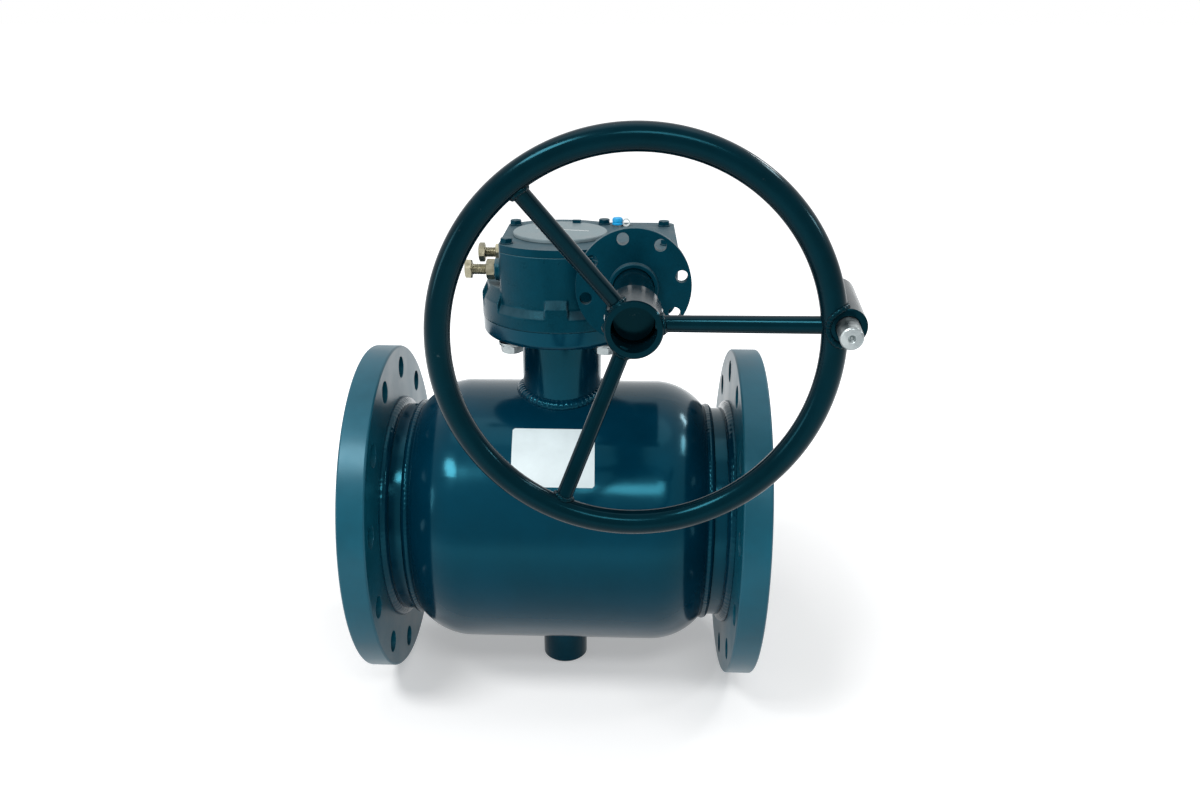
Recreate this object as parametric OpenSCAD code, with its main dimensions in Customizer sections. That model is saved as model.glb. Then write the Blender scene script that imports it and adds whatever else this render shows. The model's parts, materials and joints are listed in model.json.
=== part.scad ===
// Flanged ball valve with a quarter-turn worm gearbox and a spoked handwheel.
// Frame: origin where the pipe axis crosses the stem axis, +X along the pipe,
// -Y towards the handwheel, +Z up the stem. Millimetres. Shown fully open.

/* [Pipe ends] */
// Length from sealing face to sealing face
face_to_face = 400; // [380:5:520]
// Outside diameter of each flange
flange_d = 340; // [330:1:400]
// Thickness of each flange plate
flange_t = 27; // [20:1:36]
// Diameter of the raised sealing face
raised_face_d = 268; // [240:1:290]
// Height of the raised sealing face
raised_face_h = 2; // [1:0.5:3]
// Bolt circle of each flange
bolt_circle_d = 295; // [285:1:315]
// Diameter of the flange bolt holes
bolt_hole_d = 22; // [14:1:26]
// Number of bolts in each flange
bolt_count = 12; // [8:4:16]
// Outside diameter of the pipe necks
neck_d = 219.1; // [190:0.1:230]
// Wall of the pipe necks
neck_wall = 8; // [5:0.5:12]

/* [Body shell] */
// Outside diameter of the body shell
shell_d = 273; // [262:1:330]
// Wall of the body shell
shell_wall = 7; // [4:0.5:8]
// Half length of the straight part of the shell
shell_straight = 93; // [80:1:110]
// Radius of the rolled shell ends
dome_r = 66; // [56:1:80]

/* [Ball and seats] */
// Diameter of the flow bore
bore_d = 150; // [100:1:160]
// Diameter of the ball
ball_d = 224; // [220:1:232]
// Height of the flats at the top and bottom of the ball
ball_flat = 104; // [98:1:108]

/* [Stem and mounting] */
// Outside diameter of the stem neck tube
tube_d = 78; // [70:1:90]
// Bore of the stem neck tube
tube_bore_d = 60; // [56:1:64]
// Stem diameter in the valve
stem_d = 44; // [38:1:50]
// Stem diameter in the gearbox
stem_top_d = 36; // [30:1:40]
// Diameter of the mounting plate on the neck tube
plate_d = 150; // [145:1:170]
// Thickness of the mounting plate
plate_t = 16.5; // [12:0.5:22]
// Height of the joint between mounting plate and gearbox above the body shell
neck_h = 78; // [75.5:0.5:113.5]
// Bolt circle of the mounting plate
plate_pcd = 125; // [120:1:130]
// Diameter of the lower trunnion bar
trunnion_d = 49; // [44:1:60]
// Length of the trunnion bar below the body shell
trunnion_out = 48.5; // [23.5:0.5:83.5]

/* [Gearbox] */
// Distance from the stem axis to the worm axis
gear_centres = 68.75; // [66:0.25:72]
// Height of the worm axis above the joint
worm_rise = 48.5; // [46:0.5:52]
// Module of the worm gearing
gear_module = 2.5; // [2:0.25:2.75]
// Teeth of the whole gear that the segment is part of
gear_teeth = 45; // [42:1:46]
// Clearance taken off each thread and tooth
tooth_slack = 0.25; // [0.15:0.05:0.4]
// Height of the gearbox from joint to cover top
box_h = 73.5; // [72:0.5:90]
// Thickness of the cover
cover_t = 6; // [4:0.5:8]
// Distance from the stem axis to the left wall
box_left = 53; // [50:1:60]
// Distance from the stem axis to the right wall
box_right = 108; // [100:1:125]
// Half width of the box
box_half = 58; // [54:1:66]
// Radius of the round front and back of the box
bulge_r = 71; // [68:1:74]
// Distance from the stem axis to the front of the worm housing
box_front = 78; // [72:1:90]
// Radius of the base flange of the gearbox
base_r = 75.5; // [75:0.5:85]
// Diameter of the position disc
disc_d = 88; // [70:1:92]
// Distance of each stop screw from the stem axis
stop_y = 35; // [34:0.5:38]
// Length that each stop screw stands out of the wall, to the end of its head
stop_out = 31; // [26:1:40]

/* [Input flange] */
// Diameter of the input flange
input_d = 100; // [94:1:125]
// Thickness of the input flange
input_t = 8; // [6:0.5:12]
// Distance from the stem axis to the front of the input flange
input_y = 97; // [92:1:110]
// Bolt circle of the input flange
input_pcd = 84.4; // [80:0.2:102]
// Diameter of the holes in the input flange
input_hole_d = 10.5; // [8:0.5:12]

/* [Handwheel] */
// Outside diameter of the handwheel
wheel_d = 300; // [240:1:400]
// Diameter of the rim tube
rim_tube_d = 19; // [16:0.5:24]
// Distance from the stem axis to the plane of the rim
rim_y = 262; // [250:1:300]
// Diameter of the spokes
spoke_d = 12.7; // [10:0.1:16]
// Outside diameter of the hub tube
hub_d = 45; // [42:0.5:50]
// Distance from the stem axis to the front of the hub
hub_y = 223; // [215:1:235]
// Length of the hub
hub_len = 47; // [40:1:60]
// Diameter of the input stub of the worm shaft
stub_d = 35; // [30:0.5:36]
// Angle of the first spoke above the horizontal
spoke_phase = 7; // [-60:1:60]
// Outside diameter of the handle sleeve
sleeve_d = 27; // [24:0.5:30]
// Length of the handle sleeve
sleeve_len = 85; // [70:1:110]
// Diameter of the sliding handle pin
pin_d = 16; // [12:0.5:18]
// Length of the pin that stands out when it is pushed home
pin_out = 25; // [10:1:40]

/* [Hidden] */
$fn = 96;
eps = 0.01;
// running fit, radial
run = 0.05;
// face clearance between parts that move on each other
gap = 0.3;
// slip fit, radial, between parts that are fixed together
slip = 0.02;

plate_x = face_to_face / 2 - raised_face_h;
flange_in = plate_x - flange_t;
neck_r = neck_d / 2;
neck_bore_r = neck_r - neck_wall;
neck_end = plate_x - 6;
shell_r = shell_d / 2;
joint_z = shell_r + neck_h;
trunnion_z = shell_r + trunnion_out;
neck_start = shell_straight + 32;
dome_c = shell_r - dome_r;
shell_end = shell_straight + sqrt(pow(dome_r, 2) - pow(neck_r - dome_c, 2));
weld = 8;

ball_r = ball_d / 2;
bore_r = bore_d / 2;
// the seat touches the ball on this cone line
seat_r = bore_r + 12;
seat_x = sqrt(pow(ball_r, 2) - pow(seat_r, 2));
seat_w = 10;
ring_back = seat_x + 24;
carrier_back = neck_start + 44;

stem_r = stem_d / 2;
stem_top_r = stem_top_d / 2;
tube_r = tube_d / 2;
tube_bore_r = tube_bore_d / 2;
tongue_w = 24;
tongue_l = 56;
slot_depth = 20;
collar_z = shell_r - shell_wall + 3;
collar_h = 8;
washer_t = 3;
bush_z = collar_z + collar_h + gap + washer_t;
bush_h = 22;
recess_h = 3;
tube_top = joint_z - recess_h;
gland_h = 22;
spigot_r = 42.5;
packing_z = bush_z + bush_h;
packing_n = 4;
packing_h = (tube_top - gland_h - packing_z) / packing_n;
plate_z = joint_z - plate_t;
stem_step_z = joint_z - 5;

trunnion_r = trunnion_d / 2;
trunnion_pin_r = 18;
trunnion_pin_h = 19;
trunnion_bush_r = 21.5;
trunnion_washer_t = 3.7;
trunnion_top = ball_flat + gap + trunnion_washer_t;

worm_z = joint_z + worm_rise;
pitch_r = gear_module * gear_teeth / 2;
tip_r = pitch_r + gear_module;
root_r = pitch_r - 1.25 * gear_module;
base_circle_r = pitch_r * cos(20);
worm_pitch_r = gear_centres - pitch_r;
worm_tip_r = worm_pitch_r + gear_module;
worm_root_r = worm_pitch_r - 1.25 * gear_module;
lead = PI * gear_module;
worm_len = 48;
gear_w = 28;
// a helix on the gear that matches the lead of the worm
gear_twist = gear_w * lead / (2 * PI * worm_pitch_r) / pitch_r * 180 / PI;
quarter = 90;
sector_from = -15;
sector_to = quarter + 15;
web_w = 14;
web_r = root_r - 7;
hub_gear_r = 28;
shaft_r = 9;
shaft_rear_r = 7.5;
worm_bore_r = worm_tip_r + 0.7;

box_top = joint_z + box_h;
cover_z = box_top - cover_t;
gasket_t = 0.5;
wall_top = cover_z - gasket_t;
wall_from = joint_z + 17.5;
floor_z = joint_z + 25.5;
base_low = joint_z + 11.5;
base_high = joint_z + 21;
cavity_r = tip_r + 2.2;
wall = 8;
stop_r = 5;
stop_tip = -(stop_y + stop_r) * tan(sector_to - 90) - gap;
stop_boss = 5;
stop_boss_r = 10;
nut_h = 8;
head_h = 6.4;
hex_m10 = 16;
screw_r = 3;
screw_head_h = 4;
hex_m6 = 10;
cover_screws = [[-46, 42], [-46, -42], [98, 42], [98, -42], [40, 49], [40, -49]];
lug_pos = [9.6, 34.5];
lug_size = [8, 4, 3];
nipple_xy = [53, 40];
hex_m12 = 19;

neck_in_y = input_y - input_t;
neck_in_r = 36;
boss_r = 21.5;
boss_h = 6;
seal_r = 14;
seal_t = 6;
plug_y = 52;
stub_r = stub_d / 2;
hub_r = hub_d / 2;
stub_from = input_y + 0.5;
stub_to = hub_y - 27;
rim_r = (wheel_d - rim_tube_d) / 2;
spoke_hub_y = hub_y - 19;
hub_pin_y = hub_y - hub_len + 10;
sleeve_r = sleeve_d / 2;
sleeve_pos = rim_r + rim_tube_d / 2 - 2;
// the back end of the handle leans outwards
sleeve_lean = 5;
sleeve_y = rim_y + rim_tube_d / 2;
sleeve_neck = 14;
sleeve_bore_r = pin_d / 2 + 2.2;
sleeve_plug_t = 5;
pin_collar = 8;

// Turns a shape made about Z so that it lies along the pipe.
module along_x() {
    rotate([0, 90, 0]) children();
}

// Turns a shape made about Z so that it points towards the handwheel, at the worm axis.
module along_worm(y = 0) {
    translate([gear_centres, -y, worm_z]) rotate([90, 0, 0]) children();
}

// A ring of rectangular section about Z.
module ring(r_out, r_in, h) {
    difference() {
        cylinder(r = r_out, h = h);
        translate([0, 0, -1]) cylinder(r = r_in, h = h + 2);
    }
}

// A hexagon head or nut with chamfered corners, standing on Z = 0.
module hexagon(across, h) {
    intersection() {
        cylinder(d = across / cos(30), h = h, $fn = 6);
        union() {
            cylinder(r = across / 2 + 0.9, h = h - 0.7);
            translate([0, 0, h - 0.7 - eps])
                cylinder(r1 = across / 2 + 0.9, r2 = across / 2 - 0.3, h = 0.7 + eps);
        }
    }
}

// One quarter section of the shell skin, radius across and pipe axis up.
module dome_section(r, curve) {
    square([r, shell_straight]);
    intersection() {
        translate([r - curve, shell_straight]) circle(r = curve);
        translate([0, shell_straight]) square([r + 1, curve + 1]);
    }
}

module shell_section() {
    difference() {
        dome_section(shell_r, dome_r);
        dome_section(shell_r - shell_wall, dome_r - shell_wall);
        translate([-1, -1]) square([neck_r + 1, shell_straight + dome_r + 2]);
        translate([-1, -1]) square([shell_r + 3, 1]);
    }
}

module body_shell() {
    color("#0b4a58") difference() {
        along_x() rotate_extrude() {
            shell_section();
            mirror([0, 1]) shell_section();
        }
        cylinder(r = tube_bore_r, h = shell_r + 10);
        translate([0, 0, -shell_r - 10]) cylinder(r = trunnion_r, h = shell_r + 10);
    }
}

module neck_pipe() {
    color("#0b4a58") along_x() translate([0, 0, neck_start])
        ring(neck_r, neck_bore_r, neck_end - neck_start);
}

module left_neck_pipe() {
    mirror([1, 0, 0]) neck_pipe();
}

module right_neck_pipe() {
    neck_pipe();
}

// Flange plate with its raised face, edge chamfers and straddling bolt holes.
module flange() {
    edge = 1.5;
    color("#0b4a58") along_x() difference() {
        union() {
            translate([0, 0, flange_in + edge])
                cylinder(d = flange_d, h = flange_t - 2 * edge);
            translate([0, 0, flange_in])
                cylinder(r1 = flange_d / 2 - edge, r2 = flange_d / 2, h = edge);
            translate([0, 0, plate_x - edge])
                cylinder(r1 = flange_d / 2, r2 = flange_d / 2 - edge, h = edge);
            translate([0, 0, plate_x - 1]) cylinder(d = raised_face_d, h = raised_face_h + 1);
        }
        translate([0, 0, flange_in - 1]) cylinder(r = neck_r, h = flange_t + 10);
        for (i = [0 : bolt_count - 1])
            rotate([0, 0, (i + 0.5) * 360 / bolt_count])
                translate([bolt_circle_d / 2, 0, flange_in - 1])
                    cylinder(d = bolt_hole_d, h = flange_t + 10);
    }
}

module left_flange() {
    mirror([1, 0, 0]) flange();
}

module right_flange() {
    flange();
}

// Convex fillet bead against the flange, and the bead at the pipe end in its bore.
module flange_weld() {
    along_x() rotate_extrude() intersection() {
        translate([neck_r, flange_in - weld]) square(weld);
        translate([neck_r - 1, flange_in + 1]) circle(r = weld * 1.13);
    }
    along_x() translate([0, 0, neck_end]) ring(neck_r, neck_bore_r + 1, 4);
}

module flange_welds() {
    color("#093d49") {
        flange_weld();
        mirror([1, 0, 0]) flange_weld();
    }
}

// Bead in the corner between the rolled shell end and the neck pipe.
module shell_weld() {
    bead = 5;
    along_x() rotate_extrude() difference() {
        translate([neck_r, shell_end]) circle(r = bead);
        square([neck_r, shell_end + dome_r]);
        dome_section(shell_r, dome_r);
    }
}

module shell_welds() {
    color("#093d49") {
        shell_weld();
        mirror([1, 0, 0]) shell_weld();
    }
}

// Ring welded into the neck that narrows the pipe to the ball and guides the seat.
module seat_carrier() {
    color("#8d9296") along_x() rotate_extrude() difference() {
        polygon([[bore_r, ring_back + 6], [seat_r + 11, ring_back + 6],
            [seat_r + 11, seat_x + 8], [neck_bore_r - slip, seat_x + 8],
            [neck_bore_r - slip, carrier_back], [neck_bore_r - 2, carrier_back],
            [bore_r, carrier_back - 34]]);
        translate([neck_bore_r - slip, seat_x]) square([2, 6]);
    }
}

module left_seat_carrier() {
    mirror([1, 0, 0]) seat_carrier();
}

module right_seat_carrier() {
    seat_carrier();
}

// Sliding seat ring with the pocket for the soft insert, ground round the ball.
module seat_ring() {
    color("#b9bdc0") along_x() difference() {
        translate([0, 0, seat_x - 2])
            ring(seat_r + 11 - run, bore_r, ring_back - seat_x + 2 - 2);
        translate([0, 0, seat_x - 3]) ring(seat_r + 4.5, seat_r - 4.5, seat_w + 3);
        sphere(r = ball_r + gap);
        translate([0, 0, ring_back - 9]) ring(seat_r + 12, seat_r + 7.5, 4.4);
    }
}

module left_seat_ring() {
    mirror([1, 0, 0]) seat_ring();
}

module right_seat_ring() {
    seat_ring();
}

module seat_insert() {
    color("#efece2") along_x() difference() {
        translate([0, 0, seat_x - 1]) ring(seat_r + 4.4, seat_r - 4.4, seat_w + 0.9);
        sphere(r = ball_r + run);
    }
}

module left_seat_insert() {
    mirror([1, 0, 0]) seat_insert();
}

module right_seat_insert() {
    seat_insert();
}

// Coned disc spring behind each seat ring.
module seat_spring() {
    along_x() rotate_extrude() polygon([[seat_r - 6, ring_back - 1.8],
        [seat_r + 8, ring_back + 3.6], [seat_r + 8, ring_back + 5.8],
        [seat_r - 6, ring_back + 0.4]]);
}

module seat_springs() {
    color("#9aa0a3") {
        seat_spring();
        mirror([1, 0, 0]) seat_spring();
    }
}

module seat_seal() {
    along_x() translate([0, 0, ring_back - 6.8])
        rotate_extrude() translate([seat_r + 9.25, 0]) circle(r = 1.7, $fn = 48);
}

module seat_seals() {
    color("#202224") {
        seat_seal();
        mirror([1, 0, 0]) seat_seal();
    }
}

// Ball with its flow bore, the slot for the stem and the pocket for the trunnion.
module ball() {
    color("#c6cacd") difference() {
        intersection() {
            sphere(r = ball_r);
            cube([ball_d + 2, ball_d + 2, 2 * ball_flat], center = true);
        }
        along_x() translate([0, 0, -ball_d / 2 - 1]) cylinder(r = bore_r, h = ball_d + 2);
        translate([-tongue_w / 2 - run, -tongue_l / 2 - run, ball_flat - slot_depth])
            cube([tongue_w + 2 * run, tongue_l + 2 * run, slot_depth + 1]);
        translate([0, 0, -ball_flat - 1])
            cylinder(r = trunnion_bush_r, h = trunnion_pin_h + gap + 2);
    }
}

// Stem: tongue, shaft, blow-out collar, gearbox journal with its keyway.
module stem() {
    color("#b4b8bb") difference() {
        union() {
            intersection() {
                translate([-tongue_w / 2, -tongue_l / 2, ball_flat - slot_depth + 0.5])
                    cube([tongue_w, tongue_l, slot_depth]);
                cylinder(r = tongue_l / 2, h = joint_z);
            }
            translate([0, 0, ball_flat]) cylinder(r = stem_r, h = stem_step_z - ball_flat);
            translate([0, 0, collar_z]) cylinder(r = tube_bore_r - 2, h = collar_h);
            translate([0, 0, stem_step_z - 1])
                cylinder(r = stem_top_r, h = box_top - 2 - stem_step_z + 1);
        }
        translate([stem_top_r - 5, -5, worm_z - 24]) cube([10, 10, 40]);
        translate([0, 0, box_top - 16]) cylinder(r = 8, h = 20);
    }
}

// Bar welded through the bottom of the shell, turned down to the trunnion pin.
module lower_trunnion() {
    edge = 3;
    color("#0b4a58") {
        translate([0, 0, -trunnion_z + edge])
            cylinder(r = trunnion_r, h = trunnion_z - edge - trunnion_top);
        translate([0, 0, -trunnion_z])
            cylinder(r1 = trunnion_r - edge, r2 = trunnion_r, h = edge);
        translate([0, 0, -trunnion_top - 1])
            cylinder(r = trunnion_pin_r, h = trunnion_pin_h + trunnion_top - ball_flat);
    }
}

module trunnion_bush() {
    color("#b08d4a") translate([0, 0, -ball_flat])
        ring(trunnion_bush_r, trunnion_pin_r + run, trunnion_pin_h);
}

module trunnion_washer() {
    color("#efece2") translate([0, 0, -trunnion_top])
        ring(trunnion_r - 1, trunnion_pin_r + gap, trunnion_washer_t);
}

// Cone-shaped bead between an upright round part and the curved shell.
module saddle_weld(r, bead) {
    difference() {
        translate([0, 0, shell_r - bead * 1.9])
            cylinder(r1 = r + bead * 2.2, r2 = r + 1, h = bead * 2.6, $fn = 240);
        along_x() translate([0, 0, -tube_d]) cylinder(r = shell_r, h = 2 * tube_d, $fn = 480);
        cylinder(r = r, h = shell_r + 30, $fn = 240);
    }
}

module trunnion_weld() {
    color("#093d49") mirror([0, 0, 1]) saddle_weld(trunnion_r, 4);
}

module neck_tube() {
    color("#0b4a58") difference() {
        cylinder(r = tube_r, h = tube_top);
        along_x() translate([0, 0, -tube_d]) cylinder(r = shell_r, h = 2 * tube_d);
        cylinder(r = tube_bore_r, h = tube_top + 1);
    }
}

module neck_weld() {
    color("#093d49") saddle_weld(tube_r, 6.5);
}

module stem_thrust_washer() {
    color("#efece2") translate([0, 0, bush_z - washer_t])
        ring(tube_bore_r - 1, stem_r + run, washer_t);
}

module stem_bush() {
    color("#b08d4a") translate([0, 0, bush_z])
        ring(tube_bore_r - slip, stem_r + run, bush_h);
}

module stem_packing() {
    color("#efece2") for (i = [0 : packing_n - 1])
        translate([0, 0, packing_z + i * packing_h])
            ring(tube_bore_r - slip, stem_r + run, packing_h - 0.2);
}

module gland_bush() {
    color("#b08d4a") translate([0, 0, tube_top - gland_h])
        ring(tube_bore_r - slip, stem_r + run, gland_h);
}

// Places children at the four mounting bolts.
module at_mounting_bolts() {
    for (a = [45 : 90 : 315]) rotate([0, 0, a]) translate([plate_pcd / 2, 0, 0]) children();
}

module mounting_plate() {
    edge = 5;
    color("#0b4a58") difference() {
        union() {
            translate([0, 0, plate_z + edge]) cylinder(d = plate_d, h = plate_t - edge);
            translate([0, 0, plate_z]) cylinder(r = plate_d / 2 - edge, h = plate_t);
            translate([0, 0, plate_z + edge]) rotate_extrude()
                translate([plate_d / 2 - edge, 0]) circle(r = edge, $fn = 64);
        }
        translate([0, 0, plate_z - 1]) cylinder(r = tube_r, h = plate_t + 2);
        translate([0, 0, tube_top]) cylinder(r = spigot_r + 0.2, h = recess_h + 1);
        at_mounting_bolts() translate([0, 0, plate_z - 1]) cylinder(r = 6.75, h = plate_t + 2);
    }
}

module mounting_bolts() {
    washer = 2.5;
    head = 7.5;
    color("#c9c9bd") at_mounting_bolts() {
        translate([0, 0, plate_z - washer]) cylinder(r = 12, h = washer);
        translate([0, 0, plate_z - washer]) mirror([0, 0, 1]) rotate(15) hexagon(hex_m12, head);
        translate([0, 0, plate_z - washer - 1]) cylinder(r = 6, h = plate_t + washer + 12);
    }
}

// Points along an arc round a centre.
function arc(c, r, from, to, n = 10) =
    [for (i = [0 : n]) let (a = from + (to - from) * i / n) c + polar(r, a)];

// Outline of the gearbox seen from above: round front and back between flat sides.
module box_plan() {
    c = 8;
    // height at which a left corner runs smoothly into the round front
    left = [c - box_left, sqrt(max(1, pow(bulge_r - c, 2) - pow(box_left - c, 2)))];
    turn = atan2(left[1], left[0]);
    step = gear_centres - 36;
    polygon(concat(
        arc([left[0], -left[1]], c, -180, -turn),
        arc([0, 0], bulge_r, -turn, -acos(min(1, step / bulge_r)), 24),
        arc([step + c, c - box_front], c, 180, 270),
        arc([box_right - c, c - box_front], c, -90, 0),
        arc([box_right - c, box_half - c], c, 0, 90),
        arc([0, 0], bulge_r, asin(min(1, box_half / bulge_r)), turn, 24),
        arc(left, c, turn, 180)));
}

// One scalloped pocket in the shoulder of the base flange.
module base_pocket(from, to) {
    rotate([0, 0, from]) rotate_extrude(angle = to - from)
        polygon([[bulge_r - 1, base_high + 1], [base_r + 0.1, base_low], [base_r + 9, base_low],
            [base_r + 9, base_high + 14], [bulge_r - 1, base_high + 14]]);
}

// Base flange with a sloped shoulder, pockets between its bosses and the locating spigot.
module gearbox_base() {
    difference() {
        union() {
            translate([0, 0, joint_z]) cylinder(r = base_r, h = base_high - joint_z);
            translate([0, 0, base_high])
                cylinder(r1 = base_r, r2 = bulge_r - 1.5, h = 12);
        }
        for (q = [0, 180], s = [0, 1]) rotate([0, 0, q]) mirror([0, s, 0]) {
            base_pocket(8, 22);
            base_pocket(43, 82);
        }
    }
    translate([0, 0, tube_top + 0.2]) cylinder(r = spigot_r, h = recess_h);
}

// The box above the base, with the lower right edge rolled round the worm.
module gearbox_walls() {
    intersection() {
        translate([0, 0, wall_from]) linear_extrude(height = wall_top - wall_from) box_plan();
        translate([0, 200, 0]) rotate([90, 0, 0]) linear_extrude(height = 400) {
            translate([-200, wall_from]) square([box_right + 184, 100]);
            translate([-200, wall_from + 16]) square([box_right + 200, 100]);
            translate([box_right - 16, wall_from + 16]) circle(r = 16);
        }
    }
}

module at_stops() {
    for (s = [-1, 1]) translate([-box_left, s * stop_y, worm_z]) rotate([0, -90, 0]) {
        $out = stop_out - 1.5 * s;
        children();
    }
}

module gearbox_cavity() {
    h = wall_top - floor_z + 1;
    translate([0, 0, floor_z]) {
        intersection() {
            cylinder(r = cavity_r, h = h);
            translate([-box_left + wall, -100, 0]) cube([200, 200, h]);
        }
        translate([-box_left + wall, -46, 0]) cube([box_left - wall, 92, h]);
    }
    along_worm(-box_half + 10) cylinder(r = worm_bore_r, h = box_half - 10 + box_front + 1);
    translate([0, 0, joint_z + 7.5]) cylinder(r = hub_gear_r + 3, h = 40);
    translate([0, 0, joint_z - 10]) cylinder(r = stem_r + 4, h = 40);
}

// Way for the grease from under the nipple into the box.
module grease_way(from) {
    reach = sqrt(pow(nipple_xy[0], 2) + pow(nipple_xy[1], 2));
    rotate([0, 0, atan2(nipple_xy[1], nipple_xy[0])])
        translate([cavity_r - 5, -3.5, from]) cube([reach - cavity_r + 8, 7, 30]);
}

module gearbox_housing() {
    color("#0d5563") difference() {
        union() {
            gearbox_base();
            gearbox_walls();
            at_stops() translate([0, 0, -1]) cylinder(r = stop_boss_r, h = stop_boss + 1);
        }
        gearbox_cavity();
        grease_way(wall_top - 7);
        at_stops() translate([0, 0, -wall - 10]) cylinder(r = stop_r + 0.1, h = 60);
        at_mounting_bolts() translate([0, 0, joint_z - 1]) cylinder(r = 6.1, h = 13.5);
        for (p = cover_screws)
            translate([p[0], p[1], wall_top - 14]) cylinder(r = screw_r + 0.1, h = 20);
    }
}

// The flat top of the box, for the gasket and the cover.
module lid_shape(h, hole_r) {
    difference() {
        linear_extrude(height = h) box_plan();
        translate([0, 0, -1]) cylinder(r = hole_r, h = h + 2);
        for (p = cover_screws)
            translate([p[0], p[1], -1]) cylinder(r = screw_r + 0.3, h = h + 2);
    }
}

module cover_gasket() {
    color("#2b2d2e") translate([0, 0, wall_top]) difference() {
        lid_shape(gasket_t, cavity_r - 3);
        translate([-box_left + wall + 2, -44, -1]) cube([box_left - wall, 88, 3]);
        grease_way(-10);
    }
}

module gearbox_cover() {
    color("#0d5563") translate([0, 0, cover_z]) difference() {
        lid_shape(cover_t, hub_gear_r - 1);
        translate([nipple_xy[0], nipple_xy[1], -1]) cylinder(r = 3.05, h = cover_t + 2);
    }
}

module cover_screws() {
    color("#0d5563") for (p = cover_screws) translate([p[0], p[1], box_top]) {
        cylinder(r = 6, h = 1);
        translate([0, 0, 1]) rotate(p[0]) hexagon(hex_m6, screw_head_h);
        translate([0, 0, -cover_t - 12]) cylinder(r = screw_r, h = cover_t + 13);
    }
}

// Bronze bushes that carry the quadrant hub in the floor and in the cover.
module hub_bushes() {
    color("#b08d4a") {
        translate([0, 0, joint_z + 7.5]) ring(hub_gear_r + 3 - slip, hub_gear_r + run, 17);
        translate([0, 0, cover_z]) ring(hub_gear_r - 1 - slip, hub_gear_r - 4 + run, cover_t);
    }
}

// A wedge of a disc, from one angle to the other, in plan.
module wedge(r, from, to) {
    polygon([[0, 0], for (a = [from : (to - from) / 6 : to + eps]) 1.5 * r * [cos(a), sin(a)]]);
}

// Hub on the stem with the sector web that carries the toothed segment.
module quadrant_hub() {
    color("#5d6468") difference() {
        union() {
            translate([0, 0, joint_z + 8]) cylinder(r = hub_gear_r, h = wall_top - joint_z - 10);
            translate([0, 0, wall_top - 3])
                cylinder(r = hub_gear_r - 4, h = box_top - wall_top + 2.5);
            translate([0, 0, worm_z - web_w / 2]) linear_extrude(height = web_w) {
                intersection() {
                    circle(r = web_r);
                    wedge(web_r, sector_from, sector_to);
                }
            }
        }
        translate([0, 0, joint_z]) cylinder(r = stem_top_r + slip, h = 100);
        translate([stem_top_r - 4, -5 - slip, joint_z]) cube([7.4, 10 + 2 * slip, 100]);
        at_segment_screws() translate([0, 0, -web_w - 1]) cylinder(r = 2.6, h = web_w + 2);
    }
}

// Places children on top of the web, at the screws that hold the segment.
module at_segment_screws() {
    for (i = [0 : 3]) rotate([0, 0, sector_from + 15 + i * (sector_to - sector_from - 30) / 3])
        translate([web_r - 5, 0, worm_z + web_w / 2]) children();
}

// Involute function, in degrees.
function involute(r) = let (a = acos(base_circle_r / r)) (tan(a) * 180 / PI - a);

// Half the angle that a gear tooth takes up at a radius.
function half_tooth(r) =
    (lead / 2 - tooth_slack) / 2 / pitch_r * 180 / PI + involute(pitch_r) - involute(r);

function polar(r, a) = [r * cos(a), r * sin(a)];

flank_steps = 4;
flank = [for (i = [0 : flank_steps]) root_r + (tip_r - root_r) * i / flank_steps];
tooth_angle = 360 / gear_teeth;
first_tooth = ceil(sector_from / tooth_angle);
last_tooth = floor((sector_to - tooth_angle / 4) / tooth_angle) - 1;

// Toothed rim in plan: the flanks of each tooth, then the inner arc back.
module segment_plan() {
    arc_steps = 24;
    inner = (web_r + slip) / cos((sector_to - sector_from) / arc_steps / 2) + slip;
    polygon(concat(
        [polar(root_r, sector_from)],
        [for (t = [first_tooth : last_tooth]) let (mid = (t + 0.5) * tooth_angle) each concat(
            [for (r = flank) polar(r, mid - half_tooth(r))],
            [for (i = [flank_steps : -1 : 0]) polar(flank[i], mid + half_tooth(flank[i]))])],
        [polar(root_r, sector_to)],
        [for (i = [arc_steps : -1 : 0])
            polar(inner, sector_from + i * (sector_to - sector_from) / arc_steps)]));
}

// Helical toothed segment with the lip that is screwed to the web.
module gear_segment() {
    lip = 4;
    lip_from = sector_from + 3;
    arc = [for (i = [0 : 12]) lip_from + i * (sector_to - 3 - lip_from) / 12];
    color("#b08d4a") difference() {
        union() {
            translate([0, 0, worm_z - gear_w / 2]) rotate([0, 0, -gear_twist / 2])
                linear_extrude(height = gear_w, twist = -gear_twist, slices = 5)
                    segment_plan();
            translate([0, 0, worm_z + web_w / 2]) linear_extrude(height = lip)
                polygon(concat([for (a = arc) polar(web_r - 10, a)],
                    [for (i = [12 : -1 : 0]) polar(web_r + 3, arc[i])]));
        }
        at_segment_screws() translate([0, 0, -1]) cylinder(r = 3.3, h = 20, $fn = 12);
    }
}

module segment_screws() {
    color("#3a3d40") at_segment_screws() {
        translate([0, 0, 4]) cylinder(r = 4.4, h = 4.5);
        translate([0, 0, -web_w + 2]) cylinder(r = 2.5, h = web_w + 3);
    }
}

module stem_key() {
    color("#9aa0a3") translate([stem_top_r - 5 + slip, -5 + slip, worm_z - 23.9])
        cube([8, 10 - 2 * slip, 39.8]);
}

// Position disc above the cover, with the spigot that is pressed into the stem.
module position_disc() {
    t = 3;
    color("#9db0b5") {
        translate([0, 0, box_top + gap]) cylinder(d = disc_d - 1, h = t);
        translate([0, 0, box_top + gap]) cylinder(d = disc_d, h = t - 0.6);
        translate([0, 0, box_top - 12]) cylinder(r = 8 - slip, h = 13);
        translate([lug_pos[0], lug_pos[1], box_top + gap + t - 0.5])
            cube(lug_size + [0, 0, 0.5]);
    }
}

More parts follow.
